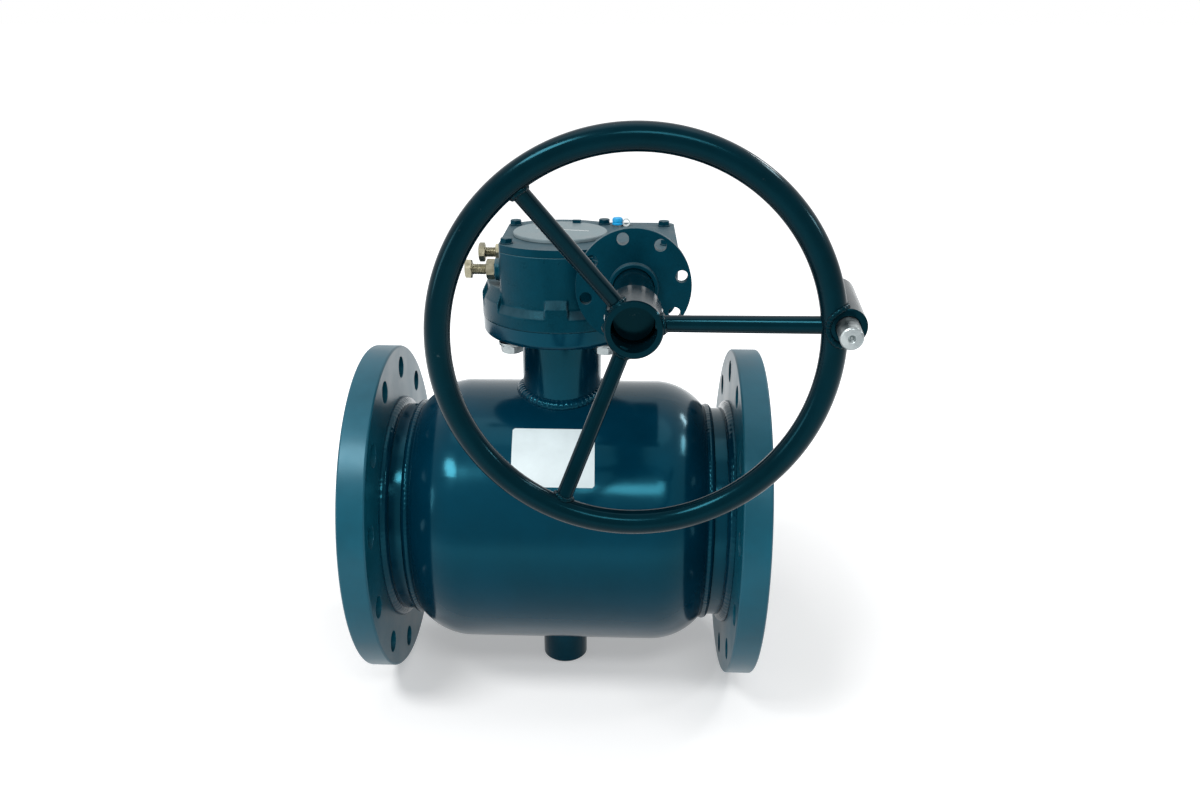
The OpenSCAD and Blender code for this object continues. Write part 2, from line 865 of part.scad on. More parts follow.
// Worm shaft: journals, worm seat and the thick input stub.
module worm_shaft() {
    color("#a9adb0") difference() {
        union() {
            along_worm(-box_half + 11)
                cylinder(r = shaft_rear_r, h = box_half - 11 + worm_len / 2 + 1);
            along_worm(worm_len / 2) cylinder(r = shaft_r, h = stub_from - worm_len / 2 + 1);
            along_worm(stub_from) cylinder(r = stub_r, h = stub_to - stub_from - 1.5);
            along_worm(stub_to - 1.5) cylinder(r1 = stub_r, r2 = stub_r - 1.5, h = 1.5);
        }
        at_hub_pin() cylinder(r = 4, h = hub_d + 4, center = true);
    }
}

// Angle of the worm section where the thread has a given half thickness.
function thread_angle(r) =
    (lead / 4 - tooth_slack / 2 - (r - worm_pitch_r) * tan(20)) * 360 / lead;

// Cross-section of the single-start thread: crest arc, two flanks, root arc.
module worm_section() {
    crest = thread_angle(worm_tip_r);
    root = thread_angle(worm_root_r);
    n = 6;
    difference() {
        polygon(concat(
            [for (i = [0 : 5]) polar(worm_tip_r, -crest + 2 * crest * i / 5)],
            [for (i = [1 : n - 1]) let (k = i / n)
                polar(worm_tip_r + (worm_root_r - worm_tip_r) * k, crest + (root - crest) * k)],
            [for (i = [0 : 4]) polar(worm_root_r, root + (360 - 2 * root) * i / 4)],
            [for (i = [n - 1 : -1 : 1]) let (k = i / n)
                polar(worm_tip_r + (worm_root_r - worm_tip_r) * k, -crest - (root - crest) * k)]));
        circle(r = (shaft_rear_r + run) / cos(15), $fn = 12);
    }
}

// Right-hand worm sleeve on its shaft, a thread crest facing the stem at rest.
module worm() {
    turns = worm_len / lead;
    color("#8f959a") along_worm(worm_len / 2) mirror([0, 0, 1]) rotate([0, 0, 180])
        linear_extrude(height = worm_len, twist = 360 * turns, slices = round(16 * turns),
            segments = 1) rotate([0, 0, 180 * turns]) worm_section();
}

// Bushes of the worm shaft, with narrow noses where the toothed segment passes them.
module worm_bushes() {
    l = 12;
    nose = 4;
    nose_r = worm_root_r + 2;
    color("#b08d4a") {
        along_worm(-worm_len / 2 - gap - nose - l)
            ring(worm_bore_r - slip, shaft_rear_r + run, l);
        along_worm(-worm_len / 2 - gap - nose - 1) ring(nose_r, shaft_rear_r + run, nose + 1);
        along_worm(worm_len / 2 + gap + nose) ring(worm_bore_r - slip, shaft_r + run, l);
        along_worm(worm_len / 2 + gap) ring(nose_r, shaft_r + run, nose + 1);
    }
}

module shaft_seal() {
    color("#202224") along_worm(input_y - seal_t - 0.5) ring(seal_r - slip, shaft_r + run, seal_t);
}

// Round input flange with its neck, spigot, seal pocket and eight holes.
module input_flange() {
    phase = 13.5;
    color("#0d5563") difference() {
        union() {
            along_worm(neck_in_y + 1) cylinder(d = input_d, h = input_t - 1);
            along_worm(neck_in_y) cylinder(d = input_d - 2, h = 2);
            along_worm(box_front) cylinder(r = neck_in_r, h = input_y - box_front);
            along_worm(plug_y) cylinder(r = worm_bore_r - slip, h = box_front - plug_y + 1);
            along_worm(input_y - 1) cylinder(r = boss_r, h = boss_h);
            along_worm(input_y + boss_h - 1) cylinder(r1 = boss_r, r2 = boss_r - 1, h = 1);
        }
        along_worm(plug_y - 1) cylinder(r = shaft_r + gap, h = 80);
        along_worm(input_y - seal_t - 1) cylinder(r = seal_r, h = 30);
        along_worm(input_y) cylinder(r = stub_r + gap, h = 30);
        for (i = [0 : 7]) along_worm(neck_in_y - 1) rotate([0, 0, 90 + phase + 45 * i])
            translate([input_pcd / 2, 0, 0]) cylinder(d = input_hole_d, h = input_t + 2);
    }
}

module stop_screws() {
    color("#c9b98a") at_stops() {
        translate([0, 0, $out - head_h]) hexagon(hex_m10, head_h);
        translate([0, 0, -box_left - stop_tip])
            cylinder(r = stop_r, h = $out + box_left + stop_tip - 1);
    }
}

module stop_lock_nuts() {
    color("#cfc9a8") at_stops() translate([0, 0, stop_boss]) difference() {
        hexagon(hex_m10, nut_h);
        translate([0, 0, -1]) cylinder(r = stop_r + slip, h = nut_h + 2);
    }
}

module grease_nipple() {
    color("#b9bdc0") translate([nipple_xy[0], nipple_xy[1], box_top]) {
        hexagon(9, 3);
        translate([0, 0, -cover_t - 2]) cylinder(r = 3, h = cover_t + 3);
        translate([0, 0, 2]) cylinder(r = 3.2, h = 5);
    }
}

// Snap-on cap with the loop that keeps it on the nipple.
module nipple_cap() {
    color("#19b4e0") translate([nipple_xy[0], nipple_xy[1], box_top + 3.2]) {
        difference() {
            union() {
                cylinder(r = 5.2, h = 5.5);
                translate([0, 0, 5.5]) cylinder(r1 = 5.2, r2 = 4, h = 1.3);
            }
            translate([0, 0, -1]) cylinder(r = 3.3, h = 5.2);
        }
        translate([8.4, 0, 2]) rotate([90, 0, 0]) rotate_extrude()
            translate([3.2, 0]) square([1.2, 3.4], center = true);
    }
}

// Turns children with the handwheel, in the plane of the wheel.
module on_wheel(angle = 0) {
    translate([gear_centres, 0, worm_z]) rotate([0, -spoke_phase - angle, 0]) children();
}

module at_hub_pin() {
    on_wheel() translate([0, -hub_pin_y, 0]) rotate([0, 90, 0]) children();
}

module wheel_hub() {
    color("#052f3d") difference() {
        along_worm(hub_y - hub_len) {
            cylinder(r = hub_r, h = hub_len - 1);
            translate([0, 0, hub_len - 1]) cylinder(r1 = hub_r, r2 = hub_r - 1, h = 1);
        }
        along_worm(hub_y - hub_len - 1) cylinder(r = stub_r + run, h = hub_len + 2);
        at_hub_pin() cylinder(r = 4, h = hub_d + 4, center = true);
    }
}

// A straight bar from the hub axis out to the centre line of the rim.
module spoke_bar(r) {
    rise = rim_y - spoke_hub_y;
    run_out = rim_r;
    translate([0, -spoke_hub_y, 0]) rotate([0, 0, -atan(rise / run_out)]) rotate([0, 90, 0])
        cylinder(r = r, h = sqrt(pow(rise, 2) + pow(run_out, 2)));
}

module rim_ring(r) {
    along_worm(rim_y) rotate_extrude() translate([rim_r, 0]) circle(r = r, $fn = 64);
}

module wheel_spokes() {
    color("#052f3d") difference() {
        for (a = [0 : 120 : 240]) on_wheel(a) spoke_bar(spoke_d / 2);
        along_worm(spoke_hub_y - 60) cylinder(r = hub_r, h = 120);
        rim_ring(rim_tube_d / 2);
        handle_room();
    }
}

module wheel_rim() {
    color("#052f3d") difference() {
        rim_ring(rim_tube_d / 2);
        handle_room();
    }
}

// Collars of weld where the spokes meet the hub and the rim.
module wheel_welds() {
    bead = spoke_d / 2 + 1.8;
    color("#04252f") {
        for (a = [0 : 120 : 240]) difference() {
            intersection() {
                on_wheel(a) spoke_bar(bead);
                along_worm(spoke_hub_y - 40) cylinder(r = hub_r + 2.5, h = 80);
            }
            on_wheel(a) spoke_bar(spoke_d / 2);
            along_worm(spoke_hub_y - 60) cylinder(r = hub_r, h = 120);
        }
        for (a = [120, 240]) difference() {
            intersection() {
                on_wheel(a) spoke_bar(bead);
                rim_ring(rim_tube_d / 2 + 1.8);
            }
            on_wheel(a) spoke_bar(spoke_d / 2);
            rim_ring(rim_tube_d / 2);
        }
    }
}

module hub_pin() {
    color("#8f959a") at_hub_pin() cylinder(r = 4 - slip, h = hub_d + 1, center = true);
}

// Places children at the front of the handle, pointing away from the operator.
module at_handle() {
    on_wheel() translate([sleeve_pos, -sleeve_y, 0]) rotate([0, 0, -sleeve_lean])
        rotate([-90, 0, 0]) children();
}

// The room that the handle takes out of the rim and the spoke it is welded to.
module handle_room() {
    at_handle() translate([0, 0, -1]) cylinder(r = sleeve_r, h = sleeve_len + 1);
}

module handle_sleeve() {
    color("#052f3d") at_handle() difference() {
        cylinder(r = sleeve_r, h = sleeve_len);
        translate([0, 0, -1]) cylinder(r = pin_d / 2 + 0.08, h = sleeve_len + 2);
        translate([0, 0, sleeve_neck]) cylinder(r = sleeve_bore_r, h = sleeve_len);
    }
}

// Bright bar that slides out of the sleeve, with the collar that stops it.
module handle_pin() {
    home = sleeve_len - sleeve_plug_t - gap;
    edge = 1.2;
    color("#b8c4c6") at_handle() difference() {
        union() {
            translate([0, 0, -pin_out + edge]) cylinder(r = pin_d / 2, h = pin_out + home - edge);
            translate([0, 0, -pin_out]) cylinder(r1 = pin_d / 2 - edge, r2 = pin_d / 2, h = edge);
            translate([0, 0, home - pin_collar])
                cylinder(r = sleeve_bore_r - 0.08, h = pin_collar);
        }
        translate([0, 0, -pin_out - 1]) cylinder(r1 = 3.6, r2 = 0.6, h = 4);
    }
}

module handle_plug() {
    color("#052f3d") at_handle() translate([0, 0, sleeve_len - sleeve_plug_t])
        cylinder(r = sleeve_bore_r - slip, h = sleeve_plug_t);
}

body_shell();
left_neck_pipe();
right_neck_pipe();
left_flange();
right_flange();
flange_welds();
shell_welds();
left_seat_carrier();
right_seat_carrier();
left_seat_ring();
right_seat_ring();
left_seat_insert();
right_seat_insert();
seat_springs();
seat_seals();
ball();
stem();
lower_trunnion();
trunnion_bush();
trunnion_washer();
trunnion_weld();
neck_tube();
neck_weld();
stem_thrust_washer();
stem_bush();
stem_packing();
gland_bush();
mounting_plate();
mounting_bolts();
gearbox_housing();
cover_gasket();
gearbox_cover();
cover_screws();
hub_bushes();
quadrant_hub();
gear_segment();
segment_screws();
stem_key();
position_disc();
worm_shaft();
worm();
worm_bushes();
shaft_seal();
input_flange();
stop_screws();
stop_lock_nuts();
grease_nipple();
nipple_cap();
wheel_hub();
wheel_spokes();
wheel_rim();
wheel_welds();
hub_pin();
handle_sleeve();
handle_pin();
handle_plug();
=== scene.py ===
"""Looks of a flanged ball valve with a worm gearbox and a spoked handwheel, over its CAD frame."""

import json
from math import cos, hypot, pi, radians, sin, sqrt, tan, tau

import bmesh
import bpy
from bpy.props import FloatProperty, FloatVectorProperty, IntProperty, PointerProperty
from bpy.types import Node, NodeSocket, Operator, Panel, PropertyGroup
from mathutils import Euler, Matrix, Vector


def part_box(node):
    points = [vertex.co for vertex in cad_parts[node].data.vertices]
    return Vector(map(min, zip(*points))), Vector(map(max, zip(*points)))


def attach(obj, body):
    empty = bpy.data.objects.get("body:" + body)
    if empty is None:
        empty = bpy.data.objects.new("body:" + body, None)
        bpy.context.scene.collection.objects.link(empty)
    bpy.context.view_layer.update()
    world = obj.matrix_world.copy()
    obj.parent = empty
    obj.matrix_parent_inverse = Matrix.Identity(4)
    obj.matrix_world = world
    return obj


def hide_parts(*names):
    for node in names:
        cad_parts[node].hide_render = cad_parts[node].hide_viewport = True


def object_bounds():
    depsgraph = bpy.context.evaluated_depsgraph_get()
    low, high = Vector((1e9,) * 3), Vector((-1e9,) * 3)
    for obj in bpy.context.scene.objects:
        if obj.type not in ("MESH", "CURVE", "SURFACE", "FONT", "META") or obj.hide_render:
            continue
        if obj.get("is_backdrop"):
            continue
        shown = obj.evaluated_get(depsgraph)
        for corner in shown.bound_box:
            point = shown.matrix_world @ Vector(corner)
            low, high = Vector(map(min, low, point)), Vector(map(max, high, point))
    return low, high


bl_info = {
    "name": "Flanged Ball Valve",
    "version": (1, 0, 0),
    "blender": (4, 5, 0),
    "location": "View3D > Sidebar > Valve",
    "description": "Builds the finished pieces of a flanged ball valve with a worm gearbox and a handwheel",
    "category": "Object",
}

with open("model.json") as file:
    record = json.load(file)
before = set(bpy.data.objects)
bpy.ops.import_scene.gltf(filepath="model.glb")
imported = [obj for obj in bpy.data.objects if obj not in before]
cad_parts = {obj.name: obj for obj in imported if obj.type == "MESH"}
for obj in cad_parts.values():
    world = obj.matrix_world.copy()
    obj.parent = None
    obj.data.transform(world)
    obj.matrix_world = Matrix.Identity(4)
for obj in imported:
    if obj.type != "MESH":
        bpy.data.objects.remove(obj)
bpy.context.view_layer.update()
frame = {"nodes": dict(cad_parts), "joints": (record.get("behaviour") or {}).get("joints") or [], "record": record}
NODES = frame["nodes"]
SLOT_OF = {part["node"]: part["material_slot"] for part in frame["record"]["subparts"]}
BODY_OF = {node: body for body, nodes in frame["record"]["behaviour"]["bodies"].items() for node in nodes}
JOINTS = {joint["name"]: joint for joint in frame["joints"]}
FINISH = {}
MM = 0.001


# Places that every piece is built from, taken from the frame.

WHEEL_AXIS = Vector(JOINTS["handwheel_turn"]["pos_m"])
HANDLE_DIRECTION = -Vector(JOINTS["grip_slide"]["axis"])
SHELL_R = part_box("body_shell")[1].z
NECK_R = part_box("left_neck_pipe")[1].z
FLANGE_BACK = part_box("right_flange")[0].x
FACE_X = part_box("right_flange")[1].x
TUBE_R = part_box("neck_tube")[1].x
TRUNNION_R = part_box("lower_trunnion")[1].x
COVER_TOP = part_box("gearbox_cover")[1].z
COVER_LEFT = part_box("gearbox_cover")[0].x
HUB_R = (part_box("wheel_hub")[1].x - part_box("wheel_hub")[0].x) / 2
HUB_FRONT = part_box("wheel_hub")[0].y
RIM_TUBE_R = (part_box("wheel_rim")[1].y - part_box("wheel_rim")[0].y) / 2
RIM_Y = (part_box("wheel_rim")[1].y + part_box("wheel_rim")[0].y) / 2
RIM_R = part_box("wheel_rim")[1].z - WHEEL_AXIS.z - RIM_TUBE_R

# Sizes of the wheel that the boxes of its nodes don't give.
SLEEVE_R = 13.5 * MM
SLEEVE_ROOM_R = 12.4
SPOKE_R = 6.35
SPOKE_PHASE = radians(7)
SPOKE_COUNT = 3

# the blue-green cast that the pigment gives to the gloss of every enamel here
SHEEN = "#5fd8f4"
GREYED_SHEEN = "#a8dcee"
RUBBED = "#8fa6ac"
# the paler teal of outer edges: rubbed coat and painted edge highlight
EDGE_WEAR_AND_HIGHLIGHT = "#5f8f9f"
DUST = "#8b9a9c"


def linear(code):
    """The linear colour of an sRGB hex code."""
    parts = [int(code[i:i + 2], 16) / 255 for i in (1, 3, 5)]
    return tuple(c / 12.92 if c <= 0.04045 else ((c + 0.055) / 1.055) ** 2.4 for c in parts) + (1.0,)


def tint(colour, factor):
    """A colour made lighter or darker."""
    return tuple(min(1.0, c * factor) for c in colour[:3]) + (1.0,)


def add(tree, kind, given=None):
    """A node with what it is given, by property or socket; nodes and outputs are linked to it."""
    node = tree.nodes.new(kind)
    for key, value in (given or {}).items():
        if isinstance(value, Node):
            value = value.outputs[0]
        if isinstance(value, NodeSocket):
            tree.links.new(value, node.inputs[key])
        elif isinstance(key, int) or key in node.inputs:
            node.inputs[key].default_value = value
        else:
            setattr(node, key, value)
    return node


def calc(tree, operation, *terms, clamp=False):
    """One step of arithmetic on numbers and outputs."""
    return add(tree, "ShaderNodeMath", {"operation": operation, "use_clamp": clamp, **dict(enumerate(terms))})


def spread(tree, value, from_low, from_high, low=0.0, high=1.0):
    """A value carried from one range to another, and held at its ends."""
    return add(tree, "ShaderNodeMapRange", {
        "From Min": from_low, "From Max": from_high, "To Min": low, "To Max": high, "Value": value})


def noise(tree, place, scale, detail, roughness=0.5):
    """Soft noise over a place."""
    return add(tree, "ShaderNodeTexNoise", {
        "Scale": scale, "Detail": detail, "Roughness": roughness, "Vector": place})


def drifting(tree, seed, detail, scale):
    """Soft noise over the geometry, another one for each seed."""
    return add(tree, "ShaderNodeTexNoise", {
        "noise_dimensions": "4D", "Detail": detail, "W": seed, "Scale": scale})


def mixed(tree, share, first, second):
    """A mix of two colours, each a plain colour or an output."""
    return add(tree, "ShaderNodeMix", {"data_type": "RGBA", 0: share, 6: first, 7: second}).outputs[2]


def relief(tree, depth, height, under):
    """A bump of a depth in mm, over the bump under it."""
    given = {"Distance": depth * MM, "Strength": 1.0, "Height": height}
    if under:
        given["Normal"] = under
    return add(tree, "ShaderNodeBump", given)


def fresh(block):
    """The empty shader tree of a material or a world."""
    block.use_nodes = True
    block.node_tree.nodes.clear()
    return block.node_tree


def circle(n):
    """Cosine and sine of the angles of n points round a circle."""
    return [(cos(tau * i / n), sin(tau * i / n)) for i in range(n)]


# Finishes.

def surface(name, base, second, rough, patch, swing=0.06, grain=0.8, depth=0.0, metal=0.0, specular=0.5,
            sheen="#ffffff", dust=0.0, dust_from=0.55, rings=None, scuff=0.0, ripple=0.0, edge=0.0):
    """A finish: two close colours in soft patches, an uneven gloss and a relief, all sizes in mm."""
    material = bpy.data.materials.new(name)
    tree = fresh(material)
    place = add(tree, "ShaderNodeTexCoord").outputs["Object"]
    patches = noise(tree, place, 1000 / patch, 4.0, 0.6)
    colour = mixed(tree, spread(tree, patches, 0.35, 0.65), base, second)
    gloss = spread(tree, patches, 0.3, 0.7, rough - swing, rough + swing)
    if scuff:
        # rubbed spots a few millimetres across, a little paler and duller than the coat round them
        spots = spread(tree, noise(tree, place, 110.0, 5.0, 0.65), 0.69, 0.75, 0.0, scuff)
        colour = mixed(tree, spots, colour, linear(RUBBED))
        gloss = calc(tree, "MAXIMUM", gloss, spots)
    if edge:
        # paler along outer edges and corners: partly a thin, rubbed coat, partly a painted highlight where the
        # edges catch the light
        bend = add(tree, "ShaderNodeNewGeometry").outputs["Pointiness"]
        colour = mixed(tree, spread(tree, bend, 0.52, 0.58, 0.0, edge), colour, linear(EDGE_WEAR_AND_HIGHLIGHT))
    if dust:
        # thin grey dust that settles only where the surface faces up
        facing = add(tree, "ShaderNodeNewGeometry").outputs["Normal"]
        up = add(tree, "ShaderNodeSeparateXYZ", {0: facing}).outputs["Z"]
        veil = calc(tree, "MULTIPLY", spread(tree, up, dust_from, 1.0, 0.0, dust), patches)
        colour = mixed(tree, veil, colour, linear(DUST))
        gloss = calc(tree, "ADD", gloss, veil, clamp=True)
    shader = add(tree, "ShaderNodeBsdfPrincipled", {
        "Metallic": metal, "Specular IOR Level": specular, "Specular Tint": linear(sheen),
        "Base Color": colour, "Roughness": gloss})
    bump = None
    if depth:
        bump = relief(tree, depth, noise(tree, place, 1000 / grain, 2.0), bump)
    if ripple:
        # long soft waves of a sprayed or rolled surface
        bump = relief(tree, ripple, noise(tree, place, 1000 / 26, 1.0), bump)
    if rings:
        # tool marks in circles about an axis through the origin, drawn as coarse as they need to show
        axis, pitch = rings
        flat = add(tree, "ShaderNodeVectorMath", {
            "operation": "MULTIPLY", 0: place, 1: [float(i != axis) for i in range(3)]})
        away = add(tree, "ShaderNodeVectorMath", {"operation": "LENGTH", 0: flat})
        turn = calc(tree, "MULTIPLY", away.outputs["Value"], tau / (pitch * MM))
        bump = relief(tree, 0.03, calc(tree, "SINE", turn), bump)
    if bump:
        tree.links.new(bump.outputs["Normal"], shader.inputs["Normal"])
    add(tree, "ShaderNodeOutputMaterial", {"Surface": shader})
    return material


# Each finish by its slot: its name, then either a coat of the valve with two factors for its two
# colours or None with the two colours themselves, then the settings of its surface.
RECIPES = {
    # sprayed: faint orange peel, slow waves
    "shell_paint": ("Satin enamel on rolled steel", "shell", 1.0, 1.22, dict(
        rough=0.16, patch=60, swing=0.04, grain=1.8, depth=0.01, ripple=0.1, specular=0.38, sheen=SHEEN)),
    # lighter and greyer than the body coat: a painted reflection of a lit surround on the flange rims, with a
    # little dust
    "flange_paint": ("Weathered satin enamel on steel plate", "flange", 0.9, 1.1, dict(
        rough=0.34, patch=45, swing=0.05, grain=1.6, depth=0.03, ripple=0.1, dust=0.1,
        sheen=GREYED_SHEEN)),
    # brushed: the sand skin of the iron shows through as fine pits
    "gearbox_paint": ("Enamel on cast iron", "casting", 1.0, 1.3, dict(
        rough=0.36, patch=22, swing=0.07, grain=1.4, depth=0.12, ripple=0.12, dust=0.35, dust_from=0.3,
        specular=0.2, sheen=SHEEN)),
    # the housing keeps more dust on its ledges, and its edges and corners are paler, partly rubbed and partly a
    # painted highlight
    "cast_skin": ("Rubbed enamel on cast iron", "casting", 1.0, 1.3, dict(
        rough=0.3, patch=22, swing=0.07, grain=1.4, depth=0.12, ripple=0.12, dust=0.6, dust_from=0.3,
        specular=0.25, sheen=SHEEN, edge=0.4)),
    # thick, pooled in the ripples
    "weld_paint": ("Enamel over weld bead", "shell", 0.9, 1.1, dict(
        rough=0.16, patch=14, swing=0.05, grain=2.2, depth=0.03, specular=0.35, sheen=SHEEN)),
    # rubbed spots from handling
    "wheel_paint": ("Dipped gloss enamel on bar", "wheel", 1.0, 1.5, dict(
        rough=0.17, patch=30, swing=0.04, grain=3.0, depth=0.003, ripple=0.08, scuff=0.12, specular=0.18,
        sheen=SHEEN)),
    # light oil on it
    "machined_steel": ("Turned carbon steel", None, "#8e9294", "#a2a6a8", dict(
        rough=0.32, patch=20, grain=0.9, depth=0.01, metal=1.0)),
    # the facing cut leaves fine circles about the pipe axis
    "sealing_face": ("Faced carbon steel", None, "#8b8f90", "#a7aaab", dict(
        rough=0.3, patch=35, grain=0.9, metal=1.0, rings=(0, 1.6))),
    # nearly a mirror
    "stainless": ("Polished stainless steel", None, "#93999c", "#a4aaac", dict(
        rough=0.24, patch=40, swing=0.03, grain=0.7, depth=0.005, metal=1.0)),
    # slightly blue, cloudy
    "zinc_plate": ("Bright zinc plate", None, "#878f91", "#a3abac", dict(
        rough=0.36, patch=6, swing=0.1, depth=0.03, metal=1.0)),
    # straw, a little cloudy
    "yellow_zinc": ("Yellow passivated zinc", None, "#7f7c69", "#9c9884", dict(
        rough=0.34, patch=5, swing=0.08, depth=0.01, metal=1.0)),
    # the cone springs
    "spring_steel": ("Blued spring steel", None, "#5d6468", "#74797c", dict(
        rough=0.3, patch=12, depth=0.01, metal=1.0)),
    # teeth as the hob left them
    "gear_steel": ("Hobbed ductile iron", None, "#5c6063", "#717577", dict(
        rough=0.42, patch=10, grain=1.0, depth=0.06, metal=1.0)),
    # bushes straight from the lathe
    "bronze": ("Turned tin bronze", None, "#a37a45", "#b98f55", dict(
        rough=0.3, patch=14, depth=0.01, metal=1.0)),
    # waxy, faintly blotched
    "ptfe": ("Machined PTFE", None, "#e3e0d6", "#efece4", dict(
        rough=0.45, patch=18, depth=0.01)),
    # a dull bloom from the mould
    "seal_rubber": ("Moulded nitrile rubber", None, "#17181a", "#222325", dict(
        rough=0.5, patch=9, grain=0.7, depth=0.02)),
    # oiled
    "black_steel": ("Black oxide steel", None, "#1d1e20", "#2a2b2d", dict(
        rough=0.4, patch=8, grain=0.7, depth=0.02, metal=1.0)),
    # a thin coat, faint turning marks
    "disc_paint": ("Matt coat on sheet steel", "disc", 0.92, 1.12, dict(
        rough=0.42, patch=16, grain=1.2, depth=0.03, dust=0.2, rings=(2, 2.4))),
    # soft gloss, no texture to speak of
    "cap_plastic": ("Moulded polyethylene", "cap", 0.9, 1.1, dict(
        rough=0.35, patch=5, depth=0.02)),
    # the same plastic without pigment
    "strap_plastic": ("Natural polyethylene", None, "#d8dedd", "#e9edec", dict(
        rough=0.4, patch=5, depth=0.02)),
    # slightly wavy on the curved shell
    "label_paper": ("Coated label paper", "label", 0.93, 1.02, dict(
        rough=0.42, patch=30, grain=3.0, depth=0.05, ripple=0.1)),
    # thin, brushed once
    "marking_paint": ("White marking paint", None, "#eef2f1", "#f7f9f8", dict(
        rough=0.5, patch=4, depth=0.02)),
}


# Shapes.

def keep(name, data):
    """A mesh, lamp or camera as an object of the scene, at the origin."""
    piece = bpy.data.objects.new(name, data)
    bpy.context.scene.collection.objects.link(piece)
    return piece


def put(thing, **settings):
    """Sets several properties of a thing, and returns it."""
    for key, value in settings.items():
        setattr(thing, key, value)
    return thing


def modify(piece, name, kind, **settings):
    """Puts a modifier on a piece."""
    return put(piece.modifiers.new(name, kind), **settings)


def baked(piece, least=1):
    """The plain mesh that an object's modifiers make; the object itself goes."""
    bpy.context.view_layer.update()
    graph = bpy.context.evaluated_depsgraph_get()
    mesh = bpy.data.meshes.new_from_object(piece.evaluated_get(graph), depsgraph=graph)
    if len(mesh.polygons) < least:
        raise RuntimeError(piece.name + " came out empty")
    piece.modifiers.clear()
    bpy.data.objects.remove(piece)
    return mesh


def merged(node):
    """A copy of a CAD node's mesh with its loose triangles joined."""
    bm = bmesh.new()
    bm.from_mesh(NODES[node].data)
    bmesh.ops.remove_doubles(bm, verts=bm.verts, dist=0.002 * MM)
    return bm


def solids(node):
    """The lowest and highest corner of each separate solid of a CAD node, from left to right."""
    bm = merged(node)
    left = set(bm.verts)
    found = []
    while left:
        group = set()
        edge = {next(iter(left))}
        while edge:
            group |= edge
            edge = {link.other_vert(vert) for vert in edge for link in vert.link_edges} - group
        left -= group
        places = list(zip(*(vert.co for vert in group)))
        found.append((Vector(map(min, places)), Vector(map(max, places))))
    bm.free()
    return sorted(found, key=lambda pair: tuple(pair[0]))


def shaded(bm, name, sharp=32.0, weighted=False):
    """A mesh as an object with smooth faces, parted where they meet at a sharper angle."""
    bm.normal_update()
    mesh = bpy.data.meshes.new(name)
    bm.to_mesh(mesh)
    bm.free()
    mesh.shade_smooth()
    mesh.set_sharp_from_angle(angle=radians(sharp))
    piece = keep(name, mesh)
    if weighted:
        modify(piece, "Flat faces stay flat", "WEIGHTED_NORMAL", keep_sharp=True)
    return piece


def rounded(node, radius, steps=2, sharp=28.0, above=None):
    """A copy of a CAD node with its sharp edges rolled over, or only those above a height."""
    bm = merged(node)
    bmesh.ops.dissolve_limit(bm, angle_limit=radians(0.3), verts=bm.verts, edges=bm.edges)
    bm.normal_update()
    if radius:
        edges = [e for e in bm.edges if len(e.link_faces) == 2 and e.calc_face_angle(0) > radians(sharp)]
        if above is not None:
            edges = [e for e in edges if min(v.co.z for v in e.verts) > above]
        bmesh.ops.bevel(bm, geom=edges, offset=radius * MM, offset_type="OFFSET", segments=steps,
                        profile=0.5, affect="EDGES", clamp_overlap=True, loop_slide=True)
    return shaded(bm, node + "_finished", weighted=True)


def cast(node, rounds):
    """A copy of a CAD node as a sand casting: every edge and corner rolled over by the mould."""
    start = shaded(merged(node), node + "_start")
    modify(start, "Skin", "REMESH", mode="VOXEL", voxel_size=0.8 * MM)
    modify(start, "Mould radius", "SMOOTH", factor=0.5, iterations=rounds)
    modify(start, "Fewer faces", "DECIMATE", ratio=0.45)
    mesh = baked(start, least=1000)
    mesh.shade_smooth()
    return keep(node + "_finished", mesh)


def coated(piece, *slots):
    """Gives a piece its finishes, in the order of its material numbers."""
    for slot in slots:
        piece.data.materials.append(FINISH[slot])
    return piece


def joined(name, pieces, sharp=32.0):
    """Several pieces as one."""
    bm = bmesh.new()
    for piece in pieces:
        bm.from_mesh(piece.data)
        bpy.data.objects.remove(piece)
    return shaded(bm, name, sharp)


def finish(piece, node):
    """Gives a piece its node's finish, and lets it stand for the node on the node's body."""
    slot = SLOT_OF[node]
    if not piece.data.materials:
        coated(piece, slot)
    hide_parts(node)
    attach(piece, BODY_OF[node])
    return piece


def finish_rounded(node, radius, **shape):
    """Finishes a node as itself with its edges rolled over."""
    return finish(rounded(node, radius, **shape), node)


def polyline(paths, closed_up=True):
    """A wire mesh of paths of points, for a tree to follow."""
    mesh = bpy.data.meshes.new("path")
    verts = []
    edges = []
    for path in paths:
        start = len(verts)
        verts += [tuple(p) for p in path]
        edges += [(start + i, start + i + 1) for i in range(len(path) - 1)]
        if closed_up:
            edges.append((start + len(path) - 1, start))
    mesh.from_pydata(verts, edges, [])
    return mesh


def tree_with(name, inputs):
    """A geometry tree with named inputs, each with its kind of socket."""
    tree = bpy.data.node_groups.new(name, "GeometryNodeTree")
    for label, kind in {"Geometry": "Geometry", **inputs, "Material": "Material"}.items():
        tree.interface.new_socket(label, in_out="INPUT", socket_type="NodeSocket" + kind)
    tree.interface.new_socket("Geometry", in_out="OUTPUT", socket_type="NodeSocketGeometry")
    return tree, add(tree, "NodeGroupInput").outputs


def ended(tree, given, geometry):
    """Makes what a tree has built real, and gives it its material."""
    mesh = add(tree, "GeometryNodeRealizeInstances", {"Geometry": geometry})
    mesh = add(tree, "GeometryNodeSetMaterial", {"Geometry": mesh, "Material": given["Material"]})
    add(tree, "NodeGroupOutput", {"Geometry": mesh})
    return tree


